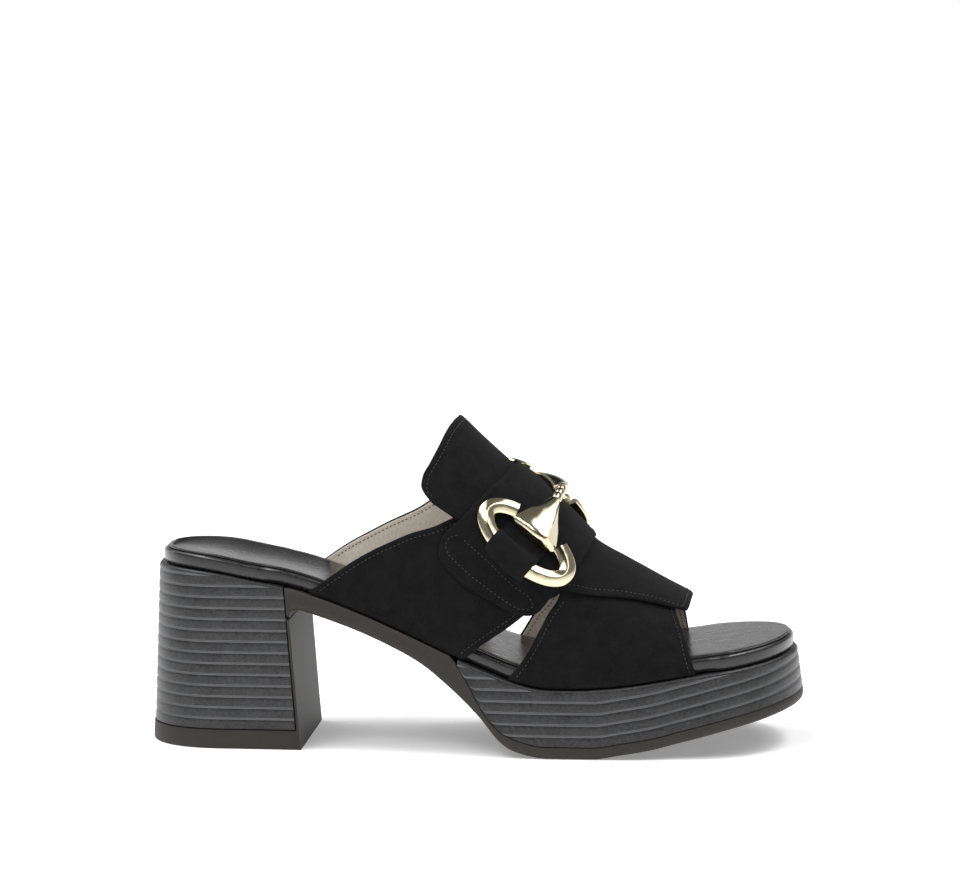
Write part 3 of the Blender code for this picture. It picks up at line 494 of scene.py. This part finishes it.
# The straps
# Rear and front strap are cut as one, in black goat suede over a beige leather lining. Their edges are
# skived, folded and top-stitched 2 mm in with matching thread, and their feet are lasted under the bed.
INSTEP_HEIGHT = 0.0742
FULLNESS = {LATERAL: 2.2, MEDIAL: 2.5}
GAP_APEX, GAP_APEX_PLACE, GAP_SEAM = 0.605, 0.631, 0.63
FOLD_DEPTH, FOLD_WIDTH, CHANNEL_DEPTH, CHANNEL_WIDTH = 0.00035, 0.0011, 0.00016, 0.0006
SEAM_INSET, STITCH_SINK = 0.0020, 0.00012
INSIDE_CAD = 0.0001            # how far the drawn faces stand inside the solids' own faces
crown = smooth([
    (0.20, 1.17), (0.40, 1.19), (0.44, 1.165), (0.47, 1.128), (0.50, 1.072), (0.54, 1.005), (0.58, 0.94),
    (0.63, 0.797), (0.68, 0.633), (0.72, 0.547), (0.76, 0.457), (0.80, 0.363), (0.84, 0.274), (0.88, 0.214),
])
ridge = smooth([(0.20, 0.03), (0.45, 0.055), (0.60, 0.055), (0.85, 0.035)])
rear_back = smooth([
    (-1.0, 0.252), (-0.93, 0.289), (-0.845, 0.334), (-0.745, 0.394), (-0.65, 0.450), (-0.50, 0.500),
    (-0.25, 0.530), (0.0, 0.537), (0.25, 0.525), (0.50, 0.470), (0.68, 0.413), (0.80, 0.342),
    (0.90, 0.282), (1.0, 0.228),
])
rear_front = smooth([
    (-1.0, 0.486), (-0.93, 0.515), (-0.86, 0.544), (-0.78, 0.574), (-0.695, 0.602),
    (-GAP_APEX, GAP_APEX_PLACE), (GAP_APEX, GAP_APEX_PLACE), (0.695, 0.598), (0.78, 0.568), (0.86, 0.538),
    (0.93, 0.508), (1.0, 0.478),
])
front_back = smooth([
    (-1.0, 0.553), (-0.925, 0.575), (-0.855, 0.590), (-0.735, 0.611), (-GAP_APEX, GAP_APEX_PLACE),
    (GAP_APEX, GAP_APEX_PLACE), (0.70, 0.616), (0.795, 0.597), (0.855, 0.579), (0.94, 0.559), (1.0, 0.545),
])
front_front = smooth([
    (-1.0, 0.832), (-0.84, 0.824), (-0.675, 0.818), (-0.51, 0.810), (-0.365, 0.803), (0.0, 0.812),
    (0.365, 0.815), (0.51, 0.817), (0.675, 0.821), (0.885, 0.826), (1.0, 0.832),
])

# Goat suede: the buffed flesh side, a dense 0.3 mm nap that drinks light, brushed into paler and darker
# patches a few millimetres wide. The grain is drawn about twice as coarse as real, so that it shows.
suede, tree, shader, at = finish_named(
    "black_suede", Roughness=0.95, IOR=1.45, Specular_IOR_Level=0.1, Sheen_Weight=0.06, Sheen_Roughness=0.45,
    Sheen_Tint=linear("#8a8a90"))
patches = node(tree, "ShaderNodeTexNoise", {"Vector": (at, 0), "Scale": 1 / 6, "Detail": 3.0,
                                            "Distortion": 0.6})
nap = node(tree, "ShaderNodeTexNoise", {"Vector": (at, 0), "Scale": 1 / 0.6, "Detail": 4.0,
                                        "Roughness": 0.75})
both = node(tree, "ShaderNodeMix", {"Factor": 0.55, "A": (patches, 0), "B": (nap, 0)}, data_type="FLOAT")
tone = node(tree, "ShaderNodeValToRGB", {"Fac": (both, 0)})
set_stops(tone.color_ramp, [(0.36, linear("#0f0f0f")), (0.66, linear("#1a1a1b"))])
bump = node(tree, "ShaderNodeBump", {"Height": (nap, 0), "Strength": 0.45, "Distance": 0.0003})
feed(shader, Base_Color=(tone, 0), Normal=(bump, 0))

# Lining: aniline-dyed pigskin, beige, with its triple pores as a faint speckle.
lining, tree, shader, at = finish_named("beige_lining", Roughness=0.7, IOR=1.48)
pores = node(tree, "ShaderNodeTexNoise", {"Vector": (at, 0), "Scale": 1 / 0.8, "Detail": 4.0})
cloud = node(tree, "ShaderNodeTexNoise", {"Vector": (at, 0), "Scale": 1 / 12, "Detail": 2.0})
both = node(tree, "ShaderNodeMix", {"Factor": 0.4, "A": (pores, 0), "B": (cloud, 0)}, data_type="FLOAT")
tone = node(tree, "ShaderNodeValToRGB", {"Fac": (both, 0)})
set_stops(tone.color_ramp, [(0.35, linear("#d6ccbb")), (0.65, linear("#eee7da"))])
bump = node(tree, "ShaderNodeBump", {"Height": (pores, 0), "Strength": 0.3, "Distance": 0.0002})
feed(shader, Base_Color=(tone, 0), Normal=(bump, 0))

# Polyester thread, waxed: a little paler than the suede, so that the seams read as fine dashes.
thread, *_ = finish_named("charcoal_thread", Base_Color=linear("#242425"), Roughness=0.6, IOR=1.5)
lining_thread, *_ = finish_named("brown_thread", Base_Color=linear("#4b443a"), Roughness=0.6, IOR=1.5)


def last_surface(x, t):
    """Point of the upper's outer face over the last; t runs from -1, lateral, over the crown to 1."""
    side = LATERAL if t < 0 else MEDIAL
    power = FULLNESS[side]
    angle = abs(t) * math.pi / 2
    down, out = max(math.cos(angle), 0.0), math.sin(angle)
    reach = (down ** power + out ** power) ** (-1 / power)
    top = ridge(x / LENGTH) * BALL_WIDTH
    foot = edge(x, side) - side * (deck_inset(x) + FOOT_INSET)
    height = INSTEP_HEIGHT * crown(x / LENGTH)
    return Vector((x, top + (foot - top) * reach * out, deck(x) + LAYER_GAP + height * reach * down))


def last_normal(x, t):
    """Direction square to the last, pointing away from the foot."""
    step, turn = 0.0005, 0.01
    along = last_surface(x + step, t) - last_surface(x - step, t)
    around = last_surface(x, min(t + turn, 1.0)) - last_surface(x, max(t - turn, -1.0))
    return along.cross(around).normalized()


def over_last(x, t, height):
    """Point at a height over the last."""
    return last_surface(x, t) + last_normal(x, t) * height


def slant(curve, t):
    """Distance along x for each unit of distance square to a strap's edge."""
    turn, step = 0.006, 0.0004
    low, high = max(t - turn, -1.0), min(t + turn, 1.0)
    run = last_surface(curve(high) * LENGTH, high) - last_surface(curve(low) * LENGTH, low)
    along = last_surface(curve(t) * LENGTH + step, t) - last_surface(curve(t) * LENGTH - step, t)
    return 1 / max(run.normalized().cross(along.normalized()).length, 0.22)


EDGE_STEPS = (0.0, 0.0005, 0.0011, 0.0016, 0.0020, 0.0024, 0.0032)


def strap_rows(end, step):
    """Even girth shares, from -end on the lateral side to end."""
    count = int(round(2 * end / step))
    return [-end + 2 * end * i / count for i in range(count + 1)]


def always(t):
    """An edge that is free all the way."""
    return True


def beside_gap(t):
    """An edge that is free only where it bounds the gap between the straps."""
    return abs(t) > GAP_APEX


def strap_cells(rows, back, front, columns, free_back=always, free_front=always):
    """Corners of a strap's cells as (x, t, distance to the nearest edge), row by row."""
    grid = []
    for t in rows:
        start, end = back(t) * LENGTH, front(t) * LENGTH
        most = 0.4 * (end - start)
        from_back, from_front = [
            [min(d * slant(curve, t), most * (d / EDGE_STEPS[-1])) for d in EDGE_STEPS]
            for curve in (back, front)]
        row = []
        for d, shift in zip(EDGE_STEPS, from_back):
            row.append((start + shift, t, d if free_back(t) else 1.0))
        first, final = start + from_back[-1], end - from_front[-1]
        for k in range(1, columns):
            row.append((first + (final - first) * k / columns, t, 1.0))
        for d, shift in list(zip(EDGE_STEPS, from_front))[::-1]:
            row.append((end - shift, t, d if free_front(t) else 1.0))
        grid.append(row)
    return grid


def edge_drop(distance):
    """How far a strap's face dips near its edge: the skived fold, then the shallow seam channel."""
    fold = FOLD_DEPTH * max(0.0, 1 - distance / FOLD_WIDTH) ** 2
    channel = CHANNEL_DEPTH * max(0.0, 1 - abs(distance - SEAM_INSET) / CHANNEL_WIDTH)
    return fold + channel


def strap(name, grids, low, high, finishes, turn_in=0.0004):
    """A strap's solid: suede outside and round the edge, then lining inside."""
    order, points = {}, []
    for grid in grids:
        for row in grid:
            for x, t, distance in row:
                key = (round(x, 7), round(t, 5))
                if key not in order:
                    order[key] = len(order)
                    points.append((x, t, distance))
    count = len(points)
    outer = [over_last(x, t, high(x, t) - edge_drop(d)) for x, t, d in points]
    inner = [over_last(x, t, low(x, t) + 0.6 * edge_drop(d)) for x, t, d in points]
    faces, chosen, sides = [], [], {}
    for grid in grids:
        for row, following in zip(grid, grid[1:]):
            for k in range(len(row) - 1):
                ring, nearest = [], 1.0
                for x, t, distance in (row[k], row[k + 1], following[k + 1], following[k]):
                    i = order[(round(x, 7), round(t, 5))]
                    nearest = min(nearest, distance)
                    if i not in ring:
                        ring.append(i)
                if len(ring) < 3:
                    continue
                faces += [ring, [i + count for i in reversed(ring)]]
                chosen += [0, 0 if nearest < turn_in else 1]
                for a, b in zip(ring, ring[1:] + ring[:1]):
                    sides[(a, b)] = (b, a) not in sides
                    if (b, a) in sides:
                        sides[(b, a)] = False
    for (a, b), is_rim in sides.items():
        if is_rim:
            faces.append((a, b, b + count, a + count))
            chosen.append(0)
    piece = skin(name, outer + inner, faces, finishes, chosen)
    piece.modifiers.new("rolled edges", "SUBSURF").levels = 1
    piece.modifiers["rolled edges"].render_levels = 1
    return piece


def seam_path(curve, first, last, inset, height, steps):
    """Points and normals of a stitched line, at a distance inside a strap's edge."""
    path = []
    for i in range(steps + 1):
        t = first + (last - first) * i / steps
        x = curve(t) * LENGTH + inset * slant(curve, t)
        path.append((over_last(x, t, height(x, t)), last_normal(x, t)))
    return path


def stitches(name, paths, finish, pitch=0.0017, share=0.66, radius=0.00018):
    """Lock stitches along each path: short threads that dip into the leather at both ends."""
    points, faces = [], []
    for path in paths:
        lengths = [0.0]
        for (a, _), (b, _) in zip(path, path[1:]):
            lengths.append(lengths[-1] + (b - a).length)

        def at_length(s):
            k = next((n for n in range(1, len(lengths) - 1) if s < lengths[n]), len(lengths) - 1)
            u = (s - lengths[k - 1]) / max(lengths[k] - lengths[k - 1], 1e-9)
            return path[k - 1][0].lerp(path[k][0], u), path[k - 1][1].lerp(path[k][1], u).normalized()

        for n in range(int(lengths[-1] / pitch)):
            first = len(points)
            for step in range(7):
                u = step / 6
                here, up = at_length((n + share * u + (1 - share) / 2) * pitch)
                ahead, _ = at_length((n + share * u + (1 - share) / 2) * pitch + 0.0001)
                out = (ahead - here).normalized().cross(up)
                thick = radius * (0.45 + 0.55 * math.sin(math.pi * u) ** 0.5)
                middle = here + up * radius * (1.6 * math.sin(math.pi * u) - 0.75)
                for k in range(6):
                    angle = math.pi * k / 3
                    points.append(middle + out * (thick * math.cos(angle)) + up * (thick * math.sin(angle)))
            for step in range(6):
                for k in range(6):
                    a, b = first + step * 6 + k, first + step * 6 + (k + 1) % 6
                    faces.append((a, b, b + 6, a + 6))
            faces += [tuple(range(first, first + 6)), tuple(range(first + 36, first + 42))]
    return skin(name, points, faces, [finish])


def upper_face(x, t):
    """Height of the suede over the last: long soft troughs where the instep bends, above the foot."""
    place = x / LENGTH
    return -0.00012 - 0.00022 * math.sin(38 * place + 2.2 * t) * math.sin(9 * t + 4) * (1 - abs(t) ** 4)


rows = sorted(set([round(t, 5) for t in strap_rows(1.0, 0.02)] + [-GAP_APEX, GAP_APEX]))
straps = strap(
    "suede_straps",
    [strap_cells(rows, rear_back, rear_front, 22, free_front=beside_gap),
     strap_cells(rows, front_back, front_front, 20, free_back=beside_gap)],
    lambda x, t: -UPPER_WALL + INSIDE_CAD, upper_face, [suede, lining])
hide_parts("upper")


def strap_seams(reach, height, long_steps, short_steps):
    """Seams along the free edges of both straps, out to a girth share on each side."""
    runs = [
        (rear_back, -reach, reach, SEAM_INSET), (rear_front, -reach, -GAP_SEAM, -SEAM_INSET),
        (rear_front, GAP_SEAM, reach, -SEAM_INSET), (front_back, -reach, -GAP_SEAM, SEAM_INSET),
        (front_back, GAP_SEAM, reach, SEAM_INSET), (front_front, -reach, reach, -SEAM_INSET),
    ]
    return [seam_path(curve, first, last, inset, height, long_steps if first < 0 < last else short_steps)
            for curve, first, last, inset in runs]


paths = strap_seams(0.985, lambda x, t: upper_face(x, t) - STITCH_SINK, 300, 160)
top_stitches = stitches("strap_stitches", paths, thread)
paths = strap_seams(0.95, lambda x, t: -UPPER_WALL + 2 * INSIDE_CAD, 240, 240)
paths = [[(point, -out) for point, out in path] for path in paths]
inner_stitches = stitches("lining_stitches", paths, lining_thread)

# The vamp strip and its tongue
# A second layer of lined suede down the middle of the instep. It is top-stitched to the straps along its
# sides and toe end, and at the back it runs out from under the saddle as a loose, rounded tongue.
PLUG_WALL, PLUG_EDGE = 0.0015, 0.605
plug_rows = [
    (-0.605, 0.440, 0.630), (-0.58, 0.4215, 0.650), (-0.54, 0.4235, 0.676), (-0.48, 0.433, 0.722),
    (-0.42, 0.441, 0.775), (-0.365, 0.447, 0.817), (-0.12, 0.463, 0.824), (0.0, 0.466, 0.826),
    (0.12, 0.464, 0.827), (0.365, 0.456, 0.823), (0.42, 0.451, 0.780), (0.48, 0.443, 0.727),
    (0.54, 0.433, 0.680), (0.58, 0.430, 0.652), (0.605, 0.445, 0.630),
]
plug_back, plug_front = [smooth([(row[0], row[k]) for row in plug_rows]) for k in (1, 2)]
rows = strap_rows(PLUG_EDGE, 0.015)


def plug_face(x, t):
    """Height of the strip's suede over the last, with shallow waves."""
    wave = 0.00015 * math.sin(30 * x / LENGTH + 3) * math.sin(7 * t + 1)
    return LAYER_GAP + PLUG_WALL - INSIDE_CAD - wave


vamp = strap("vamp_strip", [strap_cells(rows, plug_back, plug_front, 34)],
             lambda x, t: LAYER_GAP + INSIDE_CAD, plug_face, [suede, lining], turn_in=0.003)
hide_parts("vamp_plug")
runs = (plug_back, 0.585, SEAM_INSET, 240), (plug_front, 0.59, -SEAM_INSET, 300)
paths = [seam_path(curve, -end, end, inset, lambda x, t: plug_face(x, t) - STITCH_SINK, steps)
         for curve, end, inset, steps in runs]
vamp_stitches = stitches("vamp_stitches", paths, thread)

# The saddle strap
# A wide band of suede folded double, laid over the vamp strip. Only its two ends are stitched, each with a
# closed row of stitches below the slit where the keeper of the ring goes through.
SADDLE_WALL, SADDLE_DOWN, SADDLE_END = 0.0015, 0.70, 0.78
saddle_rows = [
    (0.0, 0.552, 0.672), (0.25, 0.540, 0.665), (0.42, 0.517, 0.654), (0.54, 0.494, 0.638),
    (0.605, 0.479, 0.628), (0.65, 0.465, 0.618), (0.70, 0.453, 0.608), (0.735, 0.450, 0.599),
    (0.76, 0.459, 0.588), (0.78, 0.487, 0.568),
]
saddle_back, saddle_front = [smooth([(row[0], row[k]) for row in saddle_rows]) for k in (1, 2)]


def saddle_height(t):
    """Height of the saddle strap's underside: over the vamp strip, then down on the straps."""
    share = min(max((abs(t) - PLUG_EDGE) / (SADDLE_DOWN - PLUG_EDGE), 0.0), 1.0)
    return GAP + (PLUG_WALL + 2 * LAYER_GAP - GAP) * (1 - share * share * (3 - 2 * share))


def saddle_top(x, t):
    """Height of the saddle strap's face over the last."""
    return saddle_height(t) + SADDLE_WALL - INSIDE_CAD


near_ends = [side * t for side in (LATERAL, MEDIAL) for t in (0.735, 0.745, 0.752, 0.76, 0.768, 0.775)]
rows = sorted(set([round(t, 5) for t in strap_rows(SADDLE_END, 0.015)] + near_ends))
saddle = strap("saddle_strap_suede",
               [strap_cells(rows, lambda t: saddle_back(abs(t)), lambda t: saddle_front(abs(t)), 22)],
               lambda x, t: saddle_height(t) + INSIDE_CAD, saddle_top, [suede, suede])
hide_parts("saddle_strap")


# Corners of the stitched box in a saddle end, as places and girth shares.
STITCH_BOX = [
    (0.480, 0.646), (0.4665, 0.672), (0.461, 0.700), (0.466, 0.722), (0.500, 0.740), (0.540, 0.752),
    (0.570, 0.757), (0.584, 0.744), (0.592, 0.722), (0.585, 0.700), (0.560, 0.690), (0.524, 0.664),
    (0.480, 0.646),
]


def box_path(side):
    """The closed row of stitches in a saddle end, below the slit of the keeper."""
    path = []
    for (place, t), (next_place, next_t) in zip(STITCH_BOX, STITCH_BOX[1:]):
        for i in range(16):
            u = i / 16
            x, girth = (place + (next_place - place) * u) * LENGTH, side * (t + (next_t - t) * u)
            path.append((over_last(x, girth, saddle_top(x, girth) - INSIDE_CAD), last_normal(x, girth)))
    return path


paths = [box_path(side) for side in (LATERAL, MEDIAL)]
saddle_stitches = stitches("saddle_stitches", paths, thread)

# The ornament
# Two rings and a centre link, die-cast in zinc alloy, polished and plated pale gold, in the manner of a
# horse's bit. Plating and lacquer give hard, mirror-like highlights with a faint warm tint.
ORNAMENT_PLACE = 0.613
RING_LENGTH, RING_WIDTH, RING_BAND, RING_HEIGHT, RING_REST = 0.0435, 0.0235, 0.0064, 0.0034, 0.0005
BELL_REST, BELL_WIDE, BELL_NARROW, BELL_HEIGHT = 0.0009, 0.0200, 0.0048, 0.0056
BEAD_RADIUS, NECK_RADIUS, BEAD_COUNT = 0.0021, 0.0012, 3
# Sections of the ring's band and of a bell, as shares of their width and height, and the bell's wide end
# as places past its length with the shares of its size there.
RING_SECTION = (
    (-0.5, 0.1), (-0.5, 0.5), (-0.47, 0.62), (-0.4, 0.72), (-0.08, 0.98), (0.0, 1.0), (0.07, 0.98),
    (0.42, 0.6), (0.48, 0.48), (0.5, 0.36), (0.5, 0.1), (0.44, 0.0), (-0.44, 0.0),
)
BELL_SECTION = (
    (-0.44, 0.0), (-0.5, 0.12), (-0.5, 0.3), (-0.46, 0.38), (-0.36, 0.6), (-0.2, 0.8), (0.0, 0.93),
    (0.17, 1.0), (0.24, 0.97), (0.42, 0.5), (0.5, 0.3), (0.5, 0.12), (0.42, 0.0), (0.0, 0.0),
)
BELL_END = [(1.025, 0.97), (1.05, 0.90), (1.075, 0.78), (1.095, 0.58), (1.105, 0.35)]
# Girth shares of each half, and distances along the crown line.
halves = {
    LATERAL: dict(ring=-0.53, wide=-0.485, narrow=-0.255, keeper_in=-0.550,
                  ring_along=0.0015, bead_along=-0.0010),
    MEDIAL: dict(ring=0.395, wide=0.325, narrow=-0.030, keeper_in=0.420,
                 ring_along=-0.0045, bead_along=-0.0020),
}
CENTRE = last_surface(ORNAMENT_PLACE * LENGTH, 0.0)
CROWN_LINE = (last_surface(ORNAMENT_PLACE * LENGTH + 0.004, 0.0)
              - last_surface(ORNAMENT_PLACE * LENGTH - 0.004, 0.0)).normalized()

pale_gold, tree, shader, at = finish_named("pale_gold_plate", Metallic=1.0)
wear = node(tree, "ShaderNodeTexNoise", {"Vector": (at, 0), "Scale": 1 / 5, "Detail": 4.0})
tone = node(tree, "ShaderNodeMix", {"Factor": (wear, 0), "A": linear("#d8cdab"), "B": linear("#e4dabd")},
            data_type="RGBA")
gloss = node(tree, "ShaderNodeMapRange", {"Value": (wear, 0), "To Min": 0.09, "To Max": 0.2})
swell = node(tree, "ShaderNodeTexNoise", {"Vector": (at, 0), "Scale": 1 / 7, "Detail": 1.0})
bump = node(tree, "ShaderNodeBump", {"Height": (swell, 0), "Strength": 0.6, "Distance": 0.0008})
feed(shader, Base_Color=(tone, "Result"), Roughness=(gloss, 0), Normal=(bump, 0))


def on_saddle(along, t, height):
    """Point over the saddle strap, at a distance along the crown line from the ornament's middle."""
    lift = saddle_height(t) + SADDLE_WALL + height

    def far_enough(x):
        return (over_last(x, t, lift) - CENTRE).dot(CROWN_LINE) >= along

    return over_last(turning_point(far_enough, 0.45 * LENGTH, 0.80 * LENGTH), t, lift)


def girth_frame(along, t, height):
    """A seat for metalwork: its point, then unit vectors along the crown line, down the girth, and up."""
    side = LATERAL if t < 0 else MEDIAL
    turn, reach = 0.03, RING_LENGTH / 2 - RING_BAND
    lie = on_saddle(along + reach, t, height) - on_saddle(along - reach, t, height)
    fall = on_saddle(along, t + side * turn, height) - on_saddle(along, t - side * turn, height)
    up = side * lie.cross(fall).normalized()
    fore = (CROWN_LINE - up * CROWN_LINE.dot(up)).normalized()
    return on_saddle(along, t, height), fore, side * up.cross(fore), up


long_axis, short_axis = (RING_LENGTH - RING_BAND) / 2, (RING_WIDTH - RING_BAND) / 2
for side, word in ((LATERAL, "lateral"), (MEDIAL, "medial")):
    half = halves[side]
    point, fore, down, up = girth_frame(half["ring_along"], half["ring"], RING_REST)
    opening = math.acos(min((BELL_WIDE / 2 + GAP) / long_axis, 0.95))
    sections = []
    for i in range(73):
        angle = -opening + (math.pi + 2 * opening) * i / 72
        outward = Vector((math.cos(angle) / long_axis, math.sin(angle) / short_axis)).normalized()
        ring = []
        for across, height in RING_SECTION:
            along = long_axis * math.cos(angle) + outward.x * across * RING_BAND
            girth = short_axis * math.sin(angle) + outward.y * across * RING_BAND
            ring.append(point + fore * along + down * girth + up * height * RING_HEIGHT)
        sections.append(ring)
    piece = loft("cast_ring_" + word, sections, [pale_gold], sharp=50)
    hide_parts("ring_" + word)

    # The bell: a domed wedge that widens towards the ring, with a ridge on its toe side and a rounded end.
    sections = []
    for share, fullness in [(i / 24, 1.0) for i in range(25)] + BELL_END:
        along = half["bead_along"] + (half["ring_along"] - half["bead_along"]) * share
        girth = half["narrow"] + (half["wide"] - half["narrow"]) * share
        point, fore, down, up = girth_frame(along, girth, BELL_REST)
        width = (BELL_NARROW + (BELL_WIDE - BELL_NARROW) * min(share, 1.0) ** 1.2) * fullness
        height = BELL_HEIGHT * (0.8 + 0.2 * min(share, 1.0)) * (0.5 + 0.5 * fullness)
        sections.append([point + fore * (across * width) + up * rise * height
                         for across, rise in BELL_SECTION])
    piece = loft("cast_bell_" + word, sections, [pale_gold], sharp=28)
    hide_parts("bell_" + word)

start, end = halves[LATERAL], halves[MEDIAL]
from_bell, to_bell = [on_saddle(half["bead_along"], half["narrow"], BELL_REST) for half in (start, end)]
run = (to_bell - from_bell).length
sections = []
for i in range(61):
    share = GAP / run + (1 - 2 * GAP / run) * i / 60
    along = start["bead_along"] + (end["bead_along"] - start["bead_along"]) * share
    girth = start["narrow"] + (end["narrow"] - start["narrow"]) * share
    point, fore, down, up = girth_frame(along, girth, BELL_REST)
    swelling = abs(math.sin(BEAD_COUNT * math.pi * i / 60)) ** 0.6
    radius = NECK_RADIUS + (BEAD_RADIUS - NECK_RADIUS) * swelling
    middle = point + up * BEAD_RADIUS
    sections.append([middle + fore * (radius * math.cos(a * math.pi / 10))
                     + up * (radius * math.sin(a * math.pi / 10)) for a in range(20)])
beads = loft("cast_beads", sections, [pale_gold])
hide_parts("centre_knuckle")

# The keepers
# Tabs of the same suede, cut raw: each comes from under the bell, lies flat inside the ring, goes over its
# outer bar and dives through a slit in the saddle, behind the row of stitches that holds it.
KEEPER_WALL, KEEPER_WIDTH, KEEPER_EASE, KEEPER_SHIFT = 0.0008, 0.0185, 0.0016, -0.0012
for side, word in ((LATERAL, "lateral"), (MEDIAL, "medial")):
    half = halves[side]
    point, fore, down, up = girth_frame(half["ring_along"], half["ring"], RING_REST)
    high = RING_HEIGHT + GAP
    sections = []
    for share in (-0.5, -0.488, -0.46, -0.4, -0.3, -0.15, 0.0, 0.15, 0.3, 0.4, 0.46, 0.488, 0.5):
        along = KEEPER_SHIFT + share * KEEPER_WIDTH
        sag = short_axis * (1 - math.sqrt(1 - (along / long_axis) ** 2))
        bar_in = RING_WIDTH / 2 - RING_BAND - sag
        bar_out = RING_WIDTH / 2 + GAP - sag
        path = []
        for k in range(4):
            t = half["wide"] + (half["keeper_in"] - half["wide"]) * k / 3
            seat, _, _, seat_up = girth_frame(half["ring_along"] + along, t, 0.0001)
            path.append((seat, seat_up, KEEPER_WALL * (0.25 + 0.25 * k)))
        for girth, height, lean in (
            (bar_in - 0.5 * KEEPER_EASE, 0.55 * high, -0.8), (bar_in + 0.3 * KEEPER_EASE, 0.93 * high, -0.35),
            (0.5 * (bar_in + bar_out), 1.03 * high, 0.0), (bar_out - 0.6 * KEEPER_EASE, 0.93 * high, 0.5),
            (bar_out - 0.15 * KEEPER_EASE, 0.6 * high, 1.2), (bar_out, 0.0, 1.8), (bar_out, -high, 2.0),
        ):
            place = point + fore * along + down * girth + up * height
            path.append((place, (up + down * lean).normalized(), KEEPER_WALL))
        thin = 1 - 0.65 * max(0.0, (abs(share) - 0.4) / 0.1) ** 2
        under = [place for place, out, wall in path]
        over = [place + out * (wall * thin) for place, out, wall in path]
        sections.append(under + over[::-1])
    keeper = loft("suede_keeper_" + word, sections, [suede])
    keeper.modifiers.new("soft folds", "SUBSURF").levels = 2
    keeper.modifiers["soft folds"].render_levels = 2
    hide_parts("keeper_" + word)

# The studio
# A white sweep as in a catalogue photograph: a soft key from the upper left, two boxes overhead with a dark
# gap between them, and a weak one from behind. The floor clips to white, and only the contact shadows stay.
scene.view_settings.view_transform, scene.view_settings.look = "Standard", "None"

floor_mesh = bpy.data.meshes.new("floor")
floor_mesh.from_pydata([(-12, -12, 0), (12, -12, 0), (12, 30, 0), (-12, 30, 0)], [], [(0, 1, 2, 3)])
floor = bpy.data.objects.new("floor", floor_mesh)
scene.collection.objects.link(floor)
paper, *_ = finish_named(
    "floor_paper", Base_Color=(0.93, 0.93, 0.93, 1.0), Roughness=0.9, Specular_IOR_Level=0.1,
    Emission_Color=(1.0, 1.0, 1.0, 1.0), Emission_Strength=0.24)
floor_mesh.materials.append(paper)

# The room that the metal mirrors: pale walls low down, darker ones above, and a bright ceiling, which dark
# flags cut across the middle. Without the dark parts the gold would look flat.
WALL_BANDS = ((0.0, 0.46), (0.12, 0.46), (0.24, 0.09), (0.62, 0.09), (0.74, 0.98), (1.0, 0.98))
CEILING_FLAGS = ((0.0, 1.0), (0.34, 1.0), (0.39, 0.06), (0.60, 0.06), (0.65, 1.0), (1.0, 1.0))
ROOM_STRENGTH = 2.4
world = bpy.data.worlds.new("studio")
scene.world = world
world.use_nodes = True
tree = world.node_tree
room = tree.nodes["Background"]
room.inputs["Color"].default_value = (1.0, 1.0, 1.0, 1.0)
ray = node(tree, "ShaderNodeTexCoord")
parts = node(tree, "ShaderNodeSeparateXYZ", {"Vector": (ray, "Generated")})
bands = node(tree, "ShaderNodeValToRGB", {"Fac": (parts, "Z")})
sideways = node(tree, "ShaderNodeMapRange", {"Value": (parts, "X"), "From Min": -1.0, "From Max": 1.0})
flags = node(tree, "ShaderNodeValToRGB", {"Fac": (sideways, 0)})
for ramp, stops in ((bands, WALL_BANDS), (flags, CEILING_FLAGS)):
    set_stops(ramp.color_ramp, [(place, (grey, grey, grey, 1.0)) for place, grey in stops])
flagged = node(tree, "ShaderNodeMath", {0: (bands, 0), 1: (flags, 0)}, operation="MULTIPLY")
raised = node(tree, "ShaderNodeMapRange", {"Value": (parts, "Z"), "From Min": 0.2, "From Max": 0.4})
chosen = node(tree, "ShaderNodeMix", {"Factor": (raised, 0), "A": (bands, 0), "B": (flagged, 0)},
              data_type="FLOAT")
strength = node(tree, "ShaderNodeMath", {0: (chosen, 0), 1: ROOM_STRENGTH}, operation="MULTIPLY")
tree.links.new(strength.outputs[0], room.inputs["Strength"])


def soft_light(name, place, aim, size, power):
    """A rectangular soft box that points at a place on the shoe."""
    lamp = bpy.data.lights.new(name, "AREA")
    lamp.shape, lamp.size, lamp.size_y = "RECTANGLE", size[0], size[1]
    lamp.energy = power
    holder = bpy.data.objects.new(name, lamp)
    holder.location = place
    holder.rotation_euler = (Vector(aim) - Vector(place)).to_track_quat("-Z", "Y").to_euler()
    scene.collection.objects.link(holder)


soft_light("key", (-0.45, -0.85, 1.2), (0, 0, 0.05), (0.7, 0.5), 6)
soft_light("overhead back", (-0.55, -0.1, 1.2), (0, 0, 0.03), (0.45, 0.35), 5)
soft_light("overhead front", (0.55, -0.1, 1.2), (0, 0, 0.03), (0.45, 0.35), 5)
soft_light("rim", (-0.95, 0.55, 0.55), (0, 0, 0.06), (0.2, 0.6), 1)

camera = bpy.data.cameras.new("photo view")
camera.lens, camera.sensor_width, camera.clip_end = 95.84, 36.0, 100.0
viewer = bpy.data.objects.new("photo view", camera)
viewer.location = (0.06665, -0.96468, 0.18828)
viewer.rotation_euler = (math.radians(85.48), 0.0, math.radians(3.92))
scene.collection.objects.link(viewer)
scene.camera = viewer
